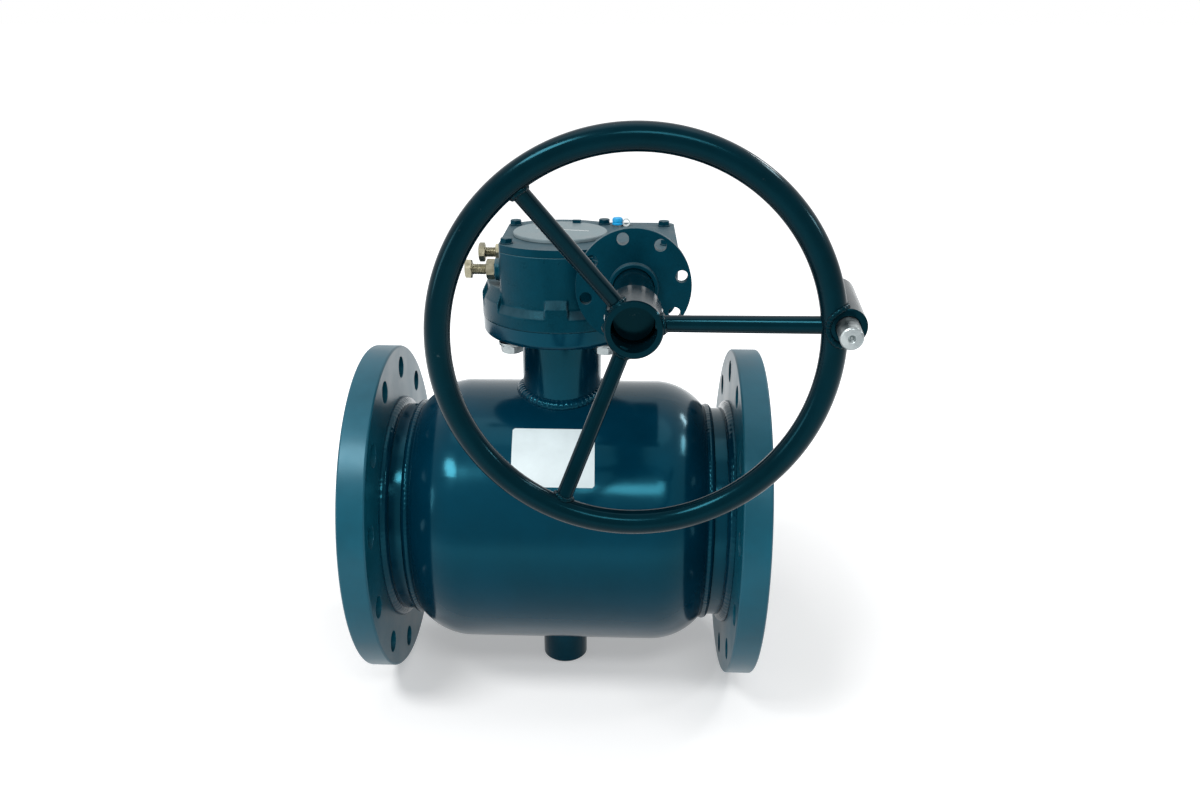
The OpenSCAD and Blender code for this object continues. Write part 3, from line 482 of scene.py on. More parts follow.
def bar_tree():
    """A round bar or weld bead along each path, with cross ripples and an uneven skin."""
    tree, given = tree_with("Bar along a path", {
        "Radius": "Float", "Step": "Float", "Sides": "Int", "Ripple Pitch": "Float",
        "Ripple Height": "Float", "Unevenness": "Float", "Lump Size": "Float", "Seed": "Float"})
    curve = add(tree, "GeometryNodeMeshToCurve", {"Mesh": given["Geometry"]})
    curve = add(tree, "GeometryNodeResampleCurve", {
        "mode": "LENGTH", "Curve": curve, "Length": given["Step"]})
    along = add(tree, "GeometryNodeSplineParameter").outputs["Length"]
    curve = add(tree, "GeometryNodeStoreNamedAttribute", {
        "data_type": "FLOAT", "domain": "POINT", "Name": "along", "Geometry": curve, "Value": along})
    ring = add(tree, "GeometryNodeCurvePrimitiveCircle", {
        "mode": "RADIUS", "Resolution": given["Sides"], "Radius": given["Radius"]})
    mesh = add(tree, "GeometryNodeCurveToMesh", {"Fill Caps": True, "Curve": curve, "Profile Curve": ring})
    along = add(tree, "GeometryNodeInputNamedAttribute", {"data_type": "FLOAT", "Name": "along"})
    turns = calc(tree, "DIVIDE", along, given["Ripple Pitch"])
    turns = calc(tree, "MULTIPLY", turns, tau)
    # the hand drifts, so the ripples are not even
    turns = calc(tree, "MULTIPLY_ADD", drifting(tree, given["Seed"], 1.0, 90.0), 9.0, turns)
    wave = calc(tree, "MULTIPLY", calc(tree, "SINE", turns), given["Ripple Height"])
    lump = drifting(tree, given["Seed"], 2.0, calc(tree, "DIVIDE", 1.0, given["Lump Size"]))
    lump = calc(tree, "MULTIPLY_ADD", calc(tree, "SUBTRACT", lump, 0.5), given["Unevenness"], wave)
    out = add(tree, "GeometryNodeInputNormal")
    out = add(tree, "ShaderNodeVectorMath", {"operation": "SCALE", 0: out, "Scale": lump})
    mesh = add(tree, "GeometryNodeSetPosition", {"Geometry": mesh, "Offset": out})
    return ended(tree, given, add(tree, "GeometryNodeSetShadeSmooth", {"Geometry": mesh}))


def repeat_tree():
    """A piece at each point, turned by the point's own angles."""
    tree, given = tree_with("Piece at each point", {"Piece": "Object"})
    piece = add(tree, "GeometryNodeObjectInfo", {"transform_space": "ORIGINAL", "Object": given["Piece"]})
    aim = add(tree, "GeometryNodeInputNamedAttribute", {"data_type": "FLOAT_VECTOR", "Name": "aim"})
    aim = add(tree, "FunctionNodeEulerToRotation", {0: aim})
    points = add(tree, "GeometryNodeMeshToPoints", {"Mesh": given["Geometry"]})
    copies = add(tree, "GeometryNodeInstanceOnPoints", {
        "Points": points, "Instance": piece.outputs["Geometry"], "Rotation": aim})
    return ended(tree, given, copies)


def grown(name, base, tree, values):
    """The plain mesh that a tree makes on a base mesh."""
    start = keep(name + "_start", base)
    live = modify(start, "Grow", "NODES", node_group=tree)
    for item in tree.interface.items_tree:
        if item.item_type == "SOCKET" and item.in_out == "INPUT" and item.name in values:
            live[item.identifier] = values[item.name]
    return keep(name, baked(start))


def repeated(name, template, places, material):
    """Copies of a template object at places, each with its turn."""
    base = bpy.data.meshes.new("places")
    base.from_pydata([tuple(p) for p, _ in places], [], [])
    aim = base.attributes.new("aim", "FLOAT_VECTOR", "POINT")
    for i, (_, turn) in enumerate(places):
        aim.data[i].vector = turn
    tree = bpy.data.node_groups.get("Piece at each point") or repeat_tree()
    piece = grown(name, base, tree, {"Piece": template, "Material": material})
    bpy.data.objects.remove(template)
    piece.data.set_sharp_from_angle(angle=radians(32))
    return piece


def bead(name, paths, radius, slot, closed_up=True, pitch=4.0, height=0.35, uneven=0.9, lump=6.0, seed=1.0,
         step=None, sides=14):
    """A weld bead or bar along paths, sizes in mm; a closed bead gets a whole number of ripples."""
    length = sum((Vector(a) - Vector(b)).length for a, b in zip(paths[0], paths[0][1:] + paths[0][:1]))
    whole = length / max(1, round(length / (pitch * MM)))
    tree = bpy.data.node_groups.get("Bar along a path") or bar_tree()
    return grown(name, polyline(paths, closed_up), tree, {
        "Radius": radius * MM, "Step": (step or pitch / 5) * MM, "Sides": sides, "Ripple Pitch": whole,
        "Ripple Height": height * MM, "Unevenness": uneven * MM, "Lump Size": lump * MM, "Seed": seed,
        "Material": FINISH[slot]})


def ring(centre, radius, axis, n):
    """Points round a circle."""
    turn = Vector((0, 0, 1)).rotation_difference(Vector(axis)).to_matrix()
    return [Vector(centre) + turn @ Vector((radius * c, radius * s, 0)) for c, s in circle(n)]


def saddle(r):
    """Where an upright tube of a radius meets the round of the shell."""
    return [(r * c, r * s, sqrt(SHELL_R ** 2 - (r * s) ** 2)) for c, s in circle(160)]


def spoke(index):
    """Start of a spoke on the hub axis, and its end at the centre of the rim tube."""
    angle = SPOKE_PHASE + index * tau / SPOKE_COUNT
    start = Vector((WHEEL_AXIS.x, HUB_FRONT + 19 * MM, WHEEL_AXIS.z))
    end = Vector((WHEEL_AXIS.x + RIM_R * cos(angle), RIM_Y, WHEEL_AXIS.z + RIM_R * sin(angle)))
    return start, end


def from_hub(p):
    """Distance of a point from the wheel's axis."""
    return hypot(p.x - WHEEL_AXIS.x, p.z - WHEEL_AXIS.z)


def from_rim(p):
    """Distance of a point from the centre line of the rim tube."""
    return hypot(from_hub(p) - RIM_R, p.y - RIM_Y)


def from_handle(p):
    """Distance of a point from the axis of the handle sleeve."""
    away = p - handle_front()
    return (away - away.dot(HANDLE_DIRECTION) * HANDLE_DIRECTION).length


def handle_front():
    """The middle of the front end of the handle sleeve."""
    out = Vector((cos(SPOKE_PHASE), 0, sin(SPOKE_PHASE)))
    start = Vector((WHEEL_AXIS.x, RIM_Y - RIM_TUBE_R, WHEEL_AXIS.z))
    return start + out * (RIM_R + RIM_TUBE_R - 2 * MM)


def landing(start, direction, radius, away, size, reach):
    """Where the skin of a straight bar meets another one: away(p) passes that one's size."""
    side = direction.cross(Vector((0, 1, 0))).normalized()
    up = side.cross(direction).normalized()
    path = []
    for c, s in circle(40):
        skin = start + radius * (c * side + s * up)
        lo, hi = reach
        before = away(skin + lo * direction) - size
        for _ in range(40):
            mid = (lo + hi) / 2
            if (away(skin + mid * direction) - size) * before > 0:
                lo = mid
            else:
                hi = mid
        path.append(skin + lo * direction)
    return path


def bridge(bm, rows, wrap=True):
    """Faces between each row of corners and the next; a row of one corner closes to a point."""
    for a, b in zip(rows, rows[1:]):
        n = max(len(a), len(b))
        for i in range(n if wrap else n - 1):
            j = (i + 1) % n
            face = list(dict.fromkeys((a[i % len(a)], a[j % len(a)], b[j % len(b)], b[i % len(b)])))
            if len(face) > 2:
                bm.faces.new(face)


def around(r, z, i, n):
    """A point on a circle about Z, from sizes in mm."""
    a = tau * i / n
    return Vector((r * MM * cos(a), r * MM * sin(a), z * MM))


def capped(bm, rows, bottom, top):
    """Bridges rings of corners, and closes both ends to a point on the axis, at heights in mm."""
    low, high = [[bm.verts.new((0, 0, z * MM))] for z in (bottom, top)]
    bridge(bm, [low] + rows + [high])


def lathe(bm, profile, n=32, matrix=Matrix.Identity(4)):
    """A closed solid of revolution about Z from (radius, height) points in mm, from axis to axis."""
    bridge(bm, [[bm.verts.new(matrix @ around(r, z, i, n)) for i in range(n if r else 1)]
                for r, z in profile])


def hexagon(bm, across, bottom, top, face=0.0, dome=0.0, hole=0.0, n=72):
    """A hexagon head or nut, in mm, with turned-down corners and a washer face."""
    flat = across / 2
    crown = flat * 0.93
    foot = flat * 1.02
    slope = tan(radians(28))
    low = bottom + (0.3 if face else 0.0)
    columns = []
    for i in range(n):
        off_flat = abs((360 * i / n + 30) % 60 - 30)
        edge = flat / cos(radians(off_flat))
        column = [(face, bottom), (face, low)] if face else []
        column += [(min(edge, foot), low), (edge, low + max(0.0, edge - foot) * slope + 0.02),
                   (edge, top - max(0.0, edge - crown) * slope), (crown, top)]
        if hole:
            column += [(hole + 0.5, top), (hole, top - 0.5), (hole, bottom)]
        columns.append([bm.verts.new(around(r, z, i, n)) for r, z in column])
    rows = [list(row) for row in zip(*columns)]
    if hole:
        bridge(bm, rows + rows[:1])
    else:
        capped(bm, rows, bottom, top + dome)


def thread(bm, radius, pitch, low, high, n=28):
    """A threaded bar about Z, in mm, its crest following one helix."""
    depth = 0.36 * pitch
    count = int(round((high - low) / pitch * 8))
    rows = []
    for k in range(count + 1):
        z = low + (high - low) * k / count
        row = []
        for i in range(n):
            phase = (z / pitch - i / n) % 1.0
            r = radius - depth * min(1.0, max(0.0, abs(2 * phase - 1) * 1.3 - 0.15))
            row.append(bm.verts.new(around(r, z, i, n)))
        rows.append(row)
    capped(bm, rows, low, high)


def closed(bm):
    """Joins doubles and turns every face outwards."""
    bmesh.ops.remove_doubles(bm, verts=bm.verts, dist=0.001 * MM)
    bmesh.ops.recalc_face_normals(bm, faces=bm.faces)
    return bm


def size_of(name, description, default, least, most):
    """A size that can be set in the panel."""
    return FloatProperty(name=name, description=description, default=default, min=least, max=most)


def count_of(name, description, default, least, most):
    """A whole number that can be set in the panel."""
    return IntProperty(name=name, description=description, default=default, min=least, max=most)


def colour_of(name, description, code):
    """A colour that can be set in the panel, from its sRGB hex code."""
    return FloatVectorProperty(
        name=name, description=description, subtype="COLOR", default=linear(code)[:3], min=0, max=1)


class ValveSizes(PropertyGroup):
    """Sizes of the detail that the finished pieces add to the frame."""
    casting_rounds: count_of("Casting softness", "How far the edges of the housing are rolled over", 3, 1, 12)
    casting_edge: size_of("Casting edge", "Radius on the edges of the cover, in mm", 1.0, 0.2, 3.0)
    machined_edge: size_of("Machined edge", "Radius on turned and cut edges, in mm", 0.6, 0.1, 1.5)
    bead_pitch: size_of("Bead ripple pitch", "Distance between the ripples of a weld, in mm", 4.0, 1.5, 8.0)
    bead_ripple: size_of("Bead ripple height", "Height of the ripples of a weld, in mm", 0.22, 0.0, 1.0)
    thread_pitch: size_of("Stop screw pitch", "Thread pitch of the stop screws, in mm", 1.5, 0.75, 2.0)
    label_thickness: size_of("Label thickness", "Thickness of the bare label, in mm", 0.15, 0.05, 0.5)
    rim_sides: count_of("Rim sides", "Faces round the tube of the rim", 64, 12, 96)


class ValveColours(PropertyGroup):
    """Colours of the coats and the label."""
    shell: colour_of("Body enamel", "Coat of the body and its welds", "#00293b")
    # the flange coat is lighter than the body's as a painted reflection on the flange rims
    flange: colour_of("Flange enamel with painted reflection", "Coat of the flanges", "#054a5c")
    casting: colour_of("Gearbox enamel", "Coat of the gearbox castings", "#012b39")
    wheel: colour_of("Handwheel enamel", "Coat of the handwheel", "#00121a")
    disc: colour_of("Position disc", "Coat of the position disc", "#6f7f84")
    cap: colour_of("Nipple cap", "Moulded cap of the grease nipple", "#129fd8")
    label: colour_of("Label", "Paper of the bare label", "#d3e0e3")


def valve(context):
    """The sizes and the colours of the valve."""
    return context.scene.valve_sizes, context.scene.valve_colours


class VALVE_OT_finishes(Operator):
    """Make every coat, plating and metal, and give them to the CAD nodes"""
    bl_idname = "valve.finishes"
    bl_label = "Finishes"

    def execute(self, context):
        _, colours = valve(context)
        for slot, (name, coat, first, second, settings) in RECIPES.items():
            if coat:
                ends = [tint(getattr(colours, coat), factor) for factor in (first, second)]
            else:
                ends = [linear(first), linear(second)]
            FINISH[slot] = surface(name, *ends, **settings)
        # the edge of the gasket is under the same coat as the castings it lies between
        FINISH["gasket"] = FINISH["gearbox_paint"]
        for node, piece in NODES.items():
            piece.data.materials.clear()
            coated(piece, SLOT_OF[node])
        return {"FINISHED"}


class VALVE_OT_flanges(Operator):
    """Make the flanges, with broken edges and bare faced sealing faces"""
    bl_idname = "valve.flanges"
    bl_label = "Flanges"

    def execute(self, context):
        sizes, _ = valve(context)
        for node in ("left_flange", "right_flange"):
            piece = coated(rounded(node, sizes.machined_edge), "flange_paint", "sealing_face")
            for face in piece.data.polygons:
                face.material_index = int(abs(face.center.x) > FACE_X - 0.7 * MM)
            finish(piece, node)
        return {"FINISHED"}


class VALVE_OT_body(Operator):
    """Make the shell, the necks, the stem tube, the trunnion bar and the mounting plate"""
    bl_idname = "valve.body"
    bl_label = "Body"

    def execute(self, context):
        for node in ("body_shell", "left_neck_pipe", "right_neck_pipe", "lower_trunnion", "mounting_plate"):
            finish_rounded(node, 0.5 if node == "lower_trunnion" else 0)
        # the neck tube: its lower end follows the round of the shell
        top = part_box("neck_tube")[1].z
        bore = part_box("stem_bush")[1].x
        skin = saddle(TUBE_R)
        inside = saddle(bore)
        rows = [skin, [(x, y, top) for x, y, _ in skin], [(x, y, top) for x, y, _ in inside], inside]
        bm = bmesh.new()
        rows = [[bm.verts.new(p) for p in row] for row in rows]
        bridge(bm, rows + rows[:1])
        finish(shaded(closed(bm), "neck_tube_finished", weighted=True), "neck_tube")
        return {"FINISHED"}


class VALVE_OT_beads(Operator):
    """Lay the weld beads of the body along their seams"""
    bl_idname = "valve.beads"
    bl_label = "Weld beads"

    def execute(self, context):
        sizes, _ = valve(context)
        pitch = sizes.bead_pitch
        height = sizes.bead_ripple
        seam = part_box("shell_welds")[1].x - 3.6 * MM

        def round_beads(x, r, radius, seed, **shape):
            """The same round bead on the left and on the right."""
            return [bead("bead", [ring((s * x, 0, 0), r, (1, 0, 0), 240)], radius, "weld_paint",
                         seed=seed + s, **shape) for s in (-1, 1)]

        outer = round_beads(FLANGE_BACK - 0.4 * MM, NECK_R + 0.4 * MM, 7.4, 3.0,
                            pitch=pitch * 1.5, height=height * 0.4, uneven=1.2, lump=22)
        bore = round_beads(FACE_X - 6.6 * MM, NECK_R - 3.4 * MM, 3.2, 7.0,
                           pitch=pitch, height=height * 0.6, uneven=0.5, sides=12)
        finish(joined("flange_beads", outer + bore, 180), "flange_welds")
        shell = round_beads(seam, NECK_R, 4.2, 11.0,
                            pitch=pitch * 1.2, height=height * 0.5, uneven=1.0, lump=16)
        finish(joined("shell_beads", shell, 180), "shell_welds")
        for node, r, size, up in (("neck_weld", TUBE_R, 6.2, 1), ("trunnion_weld", TRUNNION_R, 4.2, -1)):
            path = [(x, y, up * z) for x, y, z in saddle(r)]
            piece = bead(node + "_bead", [path], size, "weld_paint", pitch=pitch * 1.1, height=height * 1.3,
                         uneven=1.3, lump=6, seed=17.0 + r)
            finish(piece, node)
        return {"FINISHED"}


class VALVE_OT_gearbox(Operator):
    """Make the castings of the gearbox with the rolled edges of a sand mould"""
    bl_idname = "valve.gearbox"
    bl_label = "Gearbox castings"

    def execute(self, context):
        sizes, _ = valve(context)
        finish(coated(cast("gearbox_housing", sizes.casting_rounds), "cast_skin"), "gearbox_housing")
        finish_rounded("gearbox_cover", sizes.casting_edge, steps=3, sharp=22, above=COVER_TOP - 1 * MM)
        finish_rounded("input_flange", sizes.machined_edge, steps=3, sharp=22)
        return {"FINISHED"}


class VALVE_OT_hardware(Operator):
    """Make the screws, nuts and bolts from one template each, repeated at their places"""
    bl_idname = "valve.hardware"
    bl_label = "Hardware"

    def execute(self, context):
        sizes, _ = valve(context)
        # cover screws: washer face, hexagon with a turned crown
        bm = bmesh.new()
        lathe(bm, [(0, 0.02), (5.9, 0.02), (6.0, 0.2), (6.0, 0.85), (5.8, 1.05), (0, 1.05)], 40)
        hexagon(bm, 10, 1.0, 5.0, dome=-0.15)
        self.placed("cover_screws", bm, COVER_TOP, 0.0, 1.02)

        # mounting bolts from below: flat washer and hexagon head, with the shank up into the box
        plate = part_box("mounting_plate")[0].z
        shank = (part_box("mounting_bolts")[1].z - plate) / MM
        bm = bmesh.new()
        lathe(bm, [(0, 0), (11.9, 0), (12, -0.2), (12, -2.3), (11.8, -2.5), (0, -2.5)], 48)
        hexagon(bm, 19, 2.5, 10, face=9)
        for vert in bm.verts:
            if vert.co.z > 1 * MM:
                vert.co.z = -vert.co.z
        lathe(bm, [(0, shank), (6, shank), (6, -1), (0, -1)])
        self.placed("mounting_bolts", bm, plate, 0.3, 0.5)

        # stop screws: hexagon head with a washer face, and a thread where it is outside the wall
        heads = []
        nuts = []
        for i, (lo, hi) in enumerate(solids("stop_screws")):
            inner = -(hi.x - lo.x) / MM
            end = -(COVER_LEFT - lo.x) / MM - 3
            bm = bmesh.new()
            hexagon(bm, 16, -6.4, 0, face=7.2, dome=-0.2)
            thread(bm, 4.95, sizes.thread_pitch, end, -6.2)
            lathe(bm, [(0, inner), (4.2, inner), (4.9, inner + 0.8), (4.9, end + 0.4), (0, end + 0.4)], 28)
            heads.append(self.sideways(bm, lo, hi, 0.75 + 0.5 * i))
        for i, (lo, hi) in enumerate(solids("stop_lock_nuts")):
            bm = bmesh.new()
            hexagon(bm, 16, -8, 0, hole=4.6)
            nuts.append(self.sideways(bm, lo, hi, 0.35 + 0.5 * i))
        finish(joined("stop_screws_finished", heads), "stop_screws")
        finish(joined("stop_lock_nuts_finished", nuts), "stop_lock_nuts")
        return {"FINISHED"}

    @staticmethod
    def placed(node, bm, z, first, turn):
        """Finishes a node of upright screws: one template at each screw, turned on from the one before."""
        places = [(Vector(((lo.x + hi.x) / 2, (lo.y + hi.y) / 2, z)), (0, 0, first + turn * i))
                  for i, (lo, hi) in enumerate(solids(node))]
        template = shaded(closed(bm), node + "_template")
        finish(repeated(node + "_finished", template, places, FINISH[SLOT_OF[node]]), node)

    @staticmethod
    def sideways(bm, lo, hi, turn):
        """Turns an upright screw or nut to point left at its place."""
        place = Matrix.Translation(Vector((lo.x, (lo.y + hi.y) / 2, (lo.z + hi.z) / 2)))
        aim = Euler((turn, 0, 0)).to_matrix() @ Euler((0, -pi / 2, 0)).to_matrix()
        bmesh.ops.transform(bm, matrix=place @ aim.to_4x4(), verts=bm.verts)
        return shaded(closed(bm), "part")


class VALVE_OT_label(Operator):
    """Lay the bare label on the front of the shell"""
    bl_idname = "valve.label"
    bl_label = "Bare label"

    def execute(self, context):
        sizes, _ = valve(context)
        left = -43.5 * MM
        wide = 78.5 * MM
        low = radians(35)
        tall = radians(60.5 - 35) * SHELL_R
        corner = 2.0 * MM
        slant = 1.2 * MM
        lifted = 14 * MM
        n, m = 40, 30
        bm = bmesh.new()
        outlines = []
        for layer, share in ((0.02 * MM, 0.98), (sizes.label_thickness * MM, 1.0)):
            rows = []
            for j in range(m + 1):
                row = []
                for i in range(n + 1):
                    u = i / n * wide
                    v = j / m * tall
                    far_u = wide - u
                    far_v = tall - v
                    in_u = min(u, far_u)
                    in_v = min(v, far_v)
                    # the corners are rounded
                    shift = 0.0
                    if in_u < corner and in_v < corner:
                        reach = corner - sqrt(max(0.0, corner ** 2 - (corner - in_v) ** 2))
                        shift = max(0.0, reach - in_u) * (1 if u < far_u else -1)
                    # the top right corner has begun to lift
                    lift = max(0.0, 1 - hypot(far_u, far_v) / lifted) ** 2 * 0.8 * MM
                    r = SHELL_R + layer + lift * share
                    a = low + v / SHELL_R
                    x = left + u + shift + slant * (1 - j / m)
                    row.append(bm.verts.new((x, -r * cos(a), r * sin(a))))
                rows.append(row)
            # the under side, made first, faces the shell
            bridge(bm, rows if outlines else rows[::-1], wrap=False)
            right = [row[-1] for row in rows[1:]]
            outlines.append(rows[0] + right + rows[-1][-2::-1] + [row[0] for row in rows[-2:0:-1]])
        bridge(bm, outlines)
        bmesh.ops.recalc_face_normals(bm, faces=bm.faces)
        piece = coated(shaded(bm, "bare_label"), "label_paper")
        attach(piece, "valve_body")
        return {"FINISHED"}


class VALVE_OT_indicator(Operator):
    """Make the position disc with its lug and its white line"""
    bl_idname = "valve.indicator"
    bl_label = "Position disc"

    def execute(self, context):
        top = COVER_TOP + 3.3 * MM
        disc = coated(rounded("position_disc", 0.35), "disc_paint", "gearbox_paint")
        for face in disc.data.polygons:
            face.material_index = int(face.center.z > top + 0.05 * MM)
        finish(disc, "position_disc")
        start = Vector((-24 * MM, 10 * MM, top))
        end = Vector((27 * MM, -1 * MM, top))
        side = (end - start).cross(Vector((0, 0, 1))).normalized() * 0.45 * MM
        count = 24
        bm = bmesh.new()
        rows = []
        for k in range(count + 1):
            # a brushed line: its width wavers, and it is drawn in at both ends
            width = (1.0 if 0 < k < count else 0.35) * (1 + 0.12 * sin(k * 1.9))
            middle = start.lerp(end, k / count)
            rows.append([bm.verts.new(middle + side * s * width + Vector((0, 0, z * MM)))
                         for s, z in ((-1, -0.02), (-0.8, 0.07), (0.8, 0.07), (1, -0.02))])
        bridge(bm, rows)
        bm.faces.new(rows[0])
        bm.faces.new(rows[-1])
        bmesh.ops.recalc_face_normals(bm, faces=bm.faces)
        line = coated(shaded(bm, "position_line"), "marking_paint")
        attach(line, "closure")
        return {"FINISHED"}


class VALVE_OT_nipple(Operator):
    """Make the dust cap of the grease nipple, with the strap that keeps it"""
    bl_idname = "valve.nipple"
    bl_label = "Nipple cap"

    def execute(self, context):
        lo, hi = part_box("nipple_cap")
        x = lo.x + 5.2 * MM
        y = (lo.y + hi.y) / 2
        bm = bmesh.new()
        lathe(bm, [(0, 4.2), (3.3, 4.2), (3.3, 0), (4.9, 0), (5.2, 0.3), (5.2, 1.6), (4.8, 2.0), (4.8, 2.6),
                   (5.1, 2.9), (5.1, 5.2), (4.7, 6.2), (3.6, 6.8), (0, 6.8)],
              40, Matrix.Translation(Vector((x, y, lo.z))))
        caps = len(bm.faces)
        # the eye of the strap, a flat ring with six corners to its section
        centre = Vector((x + 8.4 * MM, y, lo.z + 2.2 * MM))
        section = [((3.2 + 0.6 * u) * MM, v * 1.6 * MM)
                   for u, v in ((-1, -1), (1, -1), (1.15, 0), (1, 1), (-1, 1), (-1.15, 0))]
        rows = [[bm.verts.new(centre + Vector((r * c, h, r * s))) for r, h in section] for c, s in circle(32)]
        bridge(bm, rows + rows[:1])
        for i, face in enumerate(bm.faces):
            face.material_index = int(i >= caps)
        piece = shaded(closed(bm), "nipple_cap_finished")
        finish(coated(piece, "cap_plastic", "strap_plastic"), "nipple_cap")
        return {"FINISHED"}


class VALVE_OT_handwheel(Operator):
    """Make the rim, the spokes, the hub, the welds and the handle of the wheel"""
    bl_idname = "valve.handwheel"
    bl_label = "Handwheel"

    def execute(self, context):
        sizes, _ = valve(context)
        centre = (WHEEL_AXIS.x, RIM_Y, WHEEL_AXIS.z)
        rim = bead("wheel_rim_tube", [ring(centre, RIM_R, (0, 1, 0), 256)], RIM_TUBE_R / MM - 0.05,
                   "wheel_paint", pitch=40, height=0.0, uneven=0.1, lump=40, seed=21, step=3.5,
                   sides=sizes.rim_sides)
        # the handle sleeve takes its room out of the rim tube
        turn = Vector((0, 0, 1)).rotation_difference(HANDLE_DIRECTION).to_matrix().to_4x4()
        bm = bmesh.new()
        lathe(bm, [(0, -1), (SLEEVE_ROOM_R, -1), (SLEEVE_ROOM_R, 60), (0, 60)], 64,
              Matrix.Translation(handle_front()) @ turn)
        cutter = shaded(closed(bm), "handle_room")
        modify(rim, "Handle room", "BOOLEAN", operation="DIFFERENCE", solver="EXACT", object=cutter)
        mesh = baked(rim, least=1000)
        bpy.data.objects.remove(cutter)
        mesh.materials.clear()
        mesh.shade_smooth()
        mesh.set_sharp_from_angle(angle=radians(40))
        finish(keep("wheel_rim_finished", mesh), "wheel_rim")

        bars = []
        seams = []
        for i in range(SPOKE_COUNT):
            start, end = spoke(i)
            direction = (end - start).normalized()
            reach = (0.05, (end - start).length)
            seams.append(landing(start, direction, SPOKE_R * MM, from_hub, HUB_R, (0.005, 0.06)))
            # the first spoke ends at the handle sleeve, the others run into the rim tube
            away, size = (from_rim, RIM_TUBE_R) if i else (from_handle, SLEEVE_R)
            seams.append(landing(start, direction, SPOKE_R * MM, away, size, reach))
            if i == 0:
                end = landing(start, direction, 0.1 * MM, away, size, reach)[0]
            start += direction * (HUB_R - 2.5 * MM)
            bars.append([start.lerp(end, t / 30) for t in range(31)])
        piece = bead("wheel_spokes_finished", bars, SPOKE_R, "wheel_paint", closed_up=False, pitch=40,
                     height=0.0, uneven=0.08, lump=30, seed=23, step=3, sides=32)
        finish(piece, "wheel_spokes")
        seams.append(self.rim_seam())
        piece = bead("wheel_beads", seams, 2.2, "wheel_paint", pitch=2.6, height=0.25, uneven=0.9, lump=3.0,
                     seed=25, step=0.7, sides=12)
        finish(piece, "wheel_welds")
        for node, edge in (("wheel_hub", 0.8), ("handle_sleeve", 1.6), ("handle_pin", 0.35),
                           ("hub_pin", 0.5), ("worm_shaft", 0.4)):
            finish_rounded(node, edge, steps=3)
        return {"FINISHED"}

    @staticmethod
    def rim_seam():
        """The closed seam between the rim tube and the handle sleeve."""
        front = handle_front()
        side = HANDLE_DIRECTION.cross(Vector((0, 0, 1))).normalized()
        up = side.cross(HANDLE_DIRECTION).normalized()
        steps = [k * 0.25 * MM for k in range(-20, 160)]
        found = []
        for i in range(181):
            a = tau * i / 180
            skin = front + SLEEVE_R * (cos(a) * side + sin(a) * up)
            inside = [s for s in steps if from_rim(skin + s * HANDLE_DIRECTION) < RIM_TUBE_R]
            if inside:
                found.append([a] + [skin + s * HANDLE_DIRECTION for s in (inside[0], inside[-1])])
        if len(found) < 8:
            raise RuntimeError("the rim does not meet the handle")
        # start the loop where the tube does not touch the sleeve
        gaps = [(b[0] - a[0]) % tau for a, b in zip(found, found[1:] + found[:1])]
        cut = (gaps.index(max(gaps)) + 1) % len(found)
        _, near, far = zip(*(found[cut:] + found[:cut]))
        return near[::2] + far[::-2]


# Each lamp: its place, width, height and power, in metres and watts. The key and front lamps make the
# broad highlights on the shell, the right ones the column of small highlights at its right end.
LAMPS = {
    "Key light": ((-0.82, -1.03, 1.7), 0.8, 0.46, 24.0),
    "Front light": ((0.3, -1.45, 1.38), 0.8, 0.3, 8.0),
    "Left light": ((-1.6, -0.9, 0.55), 0.4, 0.7, 4.0),
    "Right light low": ((1.75, -0.4, 1.0), 0.3, 0.16, 3.0),
    "Right light middle": ((1.3, 0.2, 1.45), 0.5, 0.16, 4.0),
    "Right light far": ((1.15, 0.95, 1.3), 0.4, 0.16, 3.0),
    "Overhead light": ((0.0, 0.15, 1.9), 1.8, 1.0, 4.0),
}
LAMPS_LOOK_AT = Vector((0.03, -0.05, 0.1))
FLOOR_REACH = 40


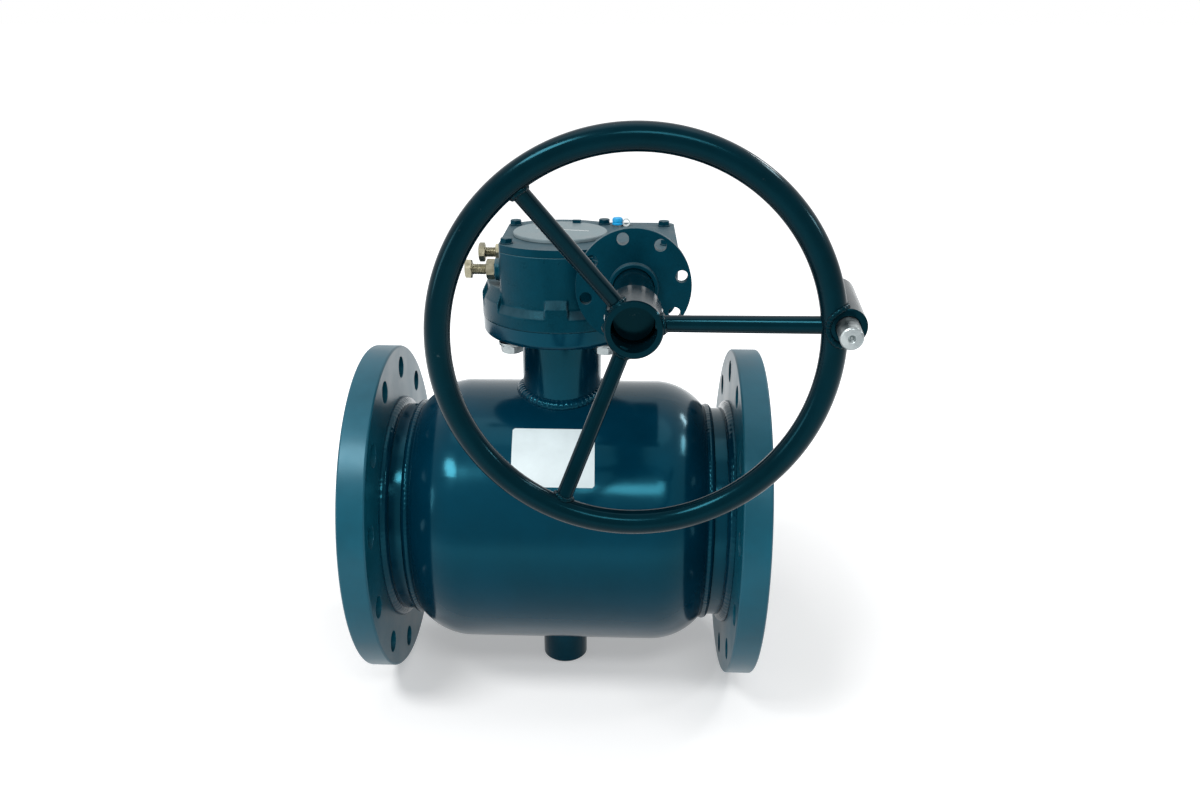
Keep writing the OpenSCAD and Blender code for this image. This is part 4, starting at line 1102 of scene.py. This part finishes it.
class VALVE_OT_stage(Operator):
    """Make the floor, the lights, the world and the camera"""
    bl_idname = "valve.stage"
    bl_label = "Stage"

    def execute(self, context):
        scene = context.scene
        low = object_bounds()[0].z
        corners = [(x * FLOOR_REACH, y * FLOOR_REACH, low) for x, y in ((-1, -1), (1, -1), (1, 1), (-1, 1))]
        mesh = bpy.data.meshes.new("floor")
        mesh.from_pydata(corners, [], [(0, 1, 2, 3)])
        floor = keep("floor", mesh)
        material = bpy.data.materials.new("White studio floor")
        tree = fresh(material)
        matt = add(tree, "ShaderNodeBsdfDiffuse", {"Color": (0.8, 0.8, 0.8, 1)})
        # the floor shines up to plain white away from the object, and keeps the shadow under it
        place = add(tree, "ShaderNodeTexCoord").outputs["Object"]
        away = add(tree, "ShaderNodeVectorMath", {"operation": "LENGTH", 0: place}).outputs["Value"]
        glow = add(tree, "ShaderNodeEmission", {
            "Color": (1, 1, 1, 1), "Strength": spread(tree, away, 0.35, 0.9, 0.35, 1.0)})
        both = add(tree, "ShaderNodeAddShader", {0: matt, 1: glow})
        mix = add(tree, "ShaderNodeMixShader", {0: self.seen(tree), 1: matt, 2: both})
        add(tree, "ShaderNodeOutputMaterial", {"Surface": mix})
        mesh.materials.append(material)
        floor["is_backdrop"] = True

        scene.world = bpy.data.worlds.new("Studio")
        tree = fresh(scene.world)
        soft = add(tree, "ShaderNodeBackground", {"Color": (0.93, 0.97, 1.0, 1), "Strength": 0.25})
        white = add(tree, "ShaderNodeBackground", {"Color": (1, 1, 1, 1)})
        mix = add(tree, "ShaderNodeMixShader", {0: self.seen(tree), 1: soft, 2: white})
        add(tree, "ShaderNodeOutputWorld", {"Surface": mix})

        for name, (place, wide, tall, power) in LAMPS.items():
            lamp = keep(name, bpy.data.lights.new(name, "AREA"))
            put(lamp.data, shape="ELLIPSE", size=wide, size_y=tall, energy=power)
            aim = (LAMPS_LOOK_AT - Vector(place)).to_track_quat("-Z", "Y").to_euler()
            put(lamp, location=place, rotation_euler=aim)

        scene.camera = keep("Camera", bpy.data.cameras.new("Camera"))
        put(scene.camera.data, sensor_width=36, lens=29.54, shift_x=0.00944, shift_y=0.09506,
            clip_start=0.01, clip_end=200)
        put(scene.camera, location=(0.0625, -0.93843, 0.4783),
            rotation_euler=(radians(90 - 27.318), 0, radians(2.196)))
        scene.view_settings.view_transform = "Standard"
        return {"FINISHED"}

    @staticmethod
    def seen(tree):
        """One for rays that show the background: straight, mirrored or through glass."""
        ray = add(tree, "ShaderNodeLightPath").outputs
        either = calc(tree, "MAXIMUM", ray["Is Camera Ray"], ray["Is Glossy Ray"])
        return calc(tree, "MAXIMUM", either, ray["Is Transmission Ray"])


STEPS = (VALVE_OT_finishes, VALVE_OT_flanges, VALVE_OT_body, VALVE_OT_beads, VALVE_OT_gearbox,
         VALVE_OT_hardware, VALVE_OT_label, VALVE_OT_indicator, VALVE_OT_nipple, VALVE_OT_handwheel,
         VALVE_OT_stage)


class VALVE_PT_panel(Panel):
    """Sizes, colours and steps of the valve"""
    bl_idname = "VALVE_PT_panel"
    bl_label = "Flanged Ball Valve"
    bl_space_type = "VIEW_3D"
    bl_region_type = "UI"
    bl_category = "Valve"

    def draw(self, context):
        for group in valve(context):
            for name in group.bl_rna.properties.keys():
                if name not in ("rna_type", "name"):
                    self.layout.prop(group, name)
        for step in STEPS:
            self.layout.operator(step.bl_idname)


CLASSES = (ValveSizes, ValveColours) + STEPS + (VALVE_PT_panel,)


def register():
    for cls in CLASSES:
        bpy.utils.register_class(cls)
    bpy.types.Scene.valve_sizes = PointerProperty(type=ValveSizes)
    bpy.types.Scene.valve_colours = PointerProperty(type=ValveColours)


def unregister():
    del bpy.types.Scene.valve_colours
    del bpy.types.Scene.valve_sizes
    for cls in reversed(CLASSES):
        bpy.utils.unregister_class(cls)


def main():
    register()
    for step in STEPS:
        group, name = step.bl_idname.split(".")
        if getattr(getattr(bpy.ops, group), name)() != {"FINISHED"}:
            raise RuntimeError(step.bl_label + " did not finish")


if __name__ == "__main__":
    main()
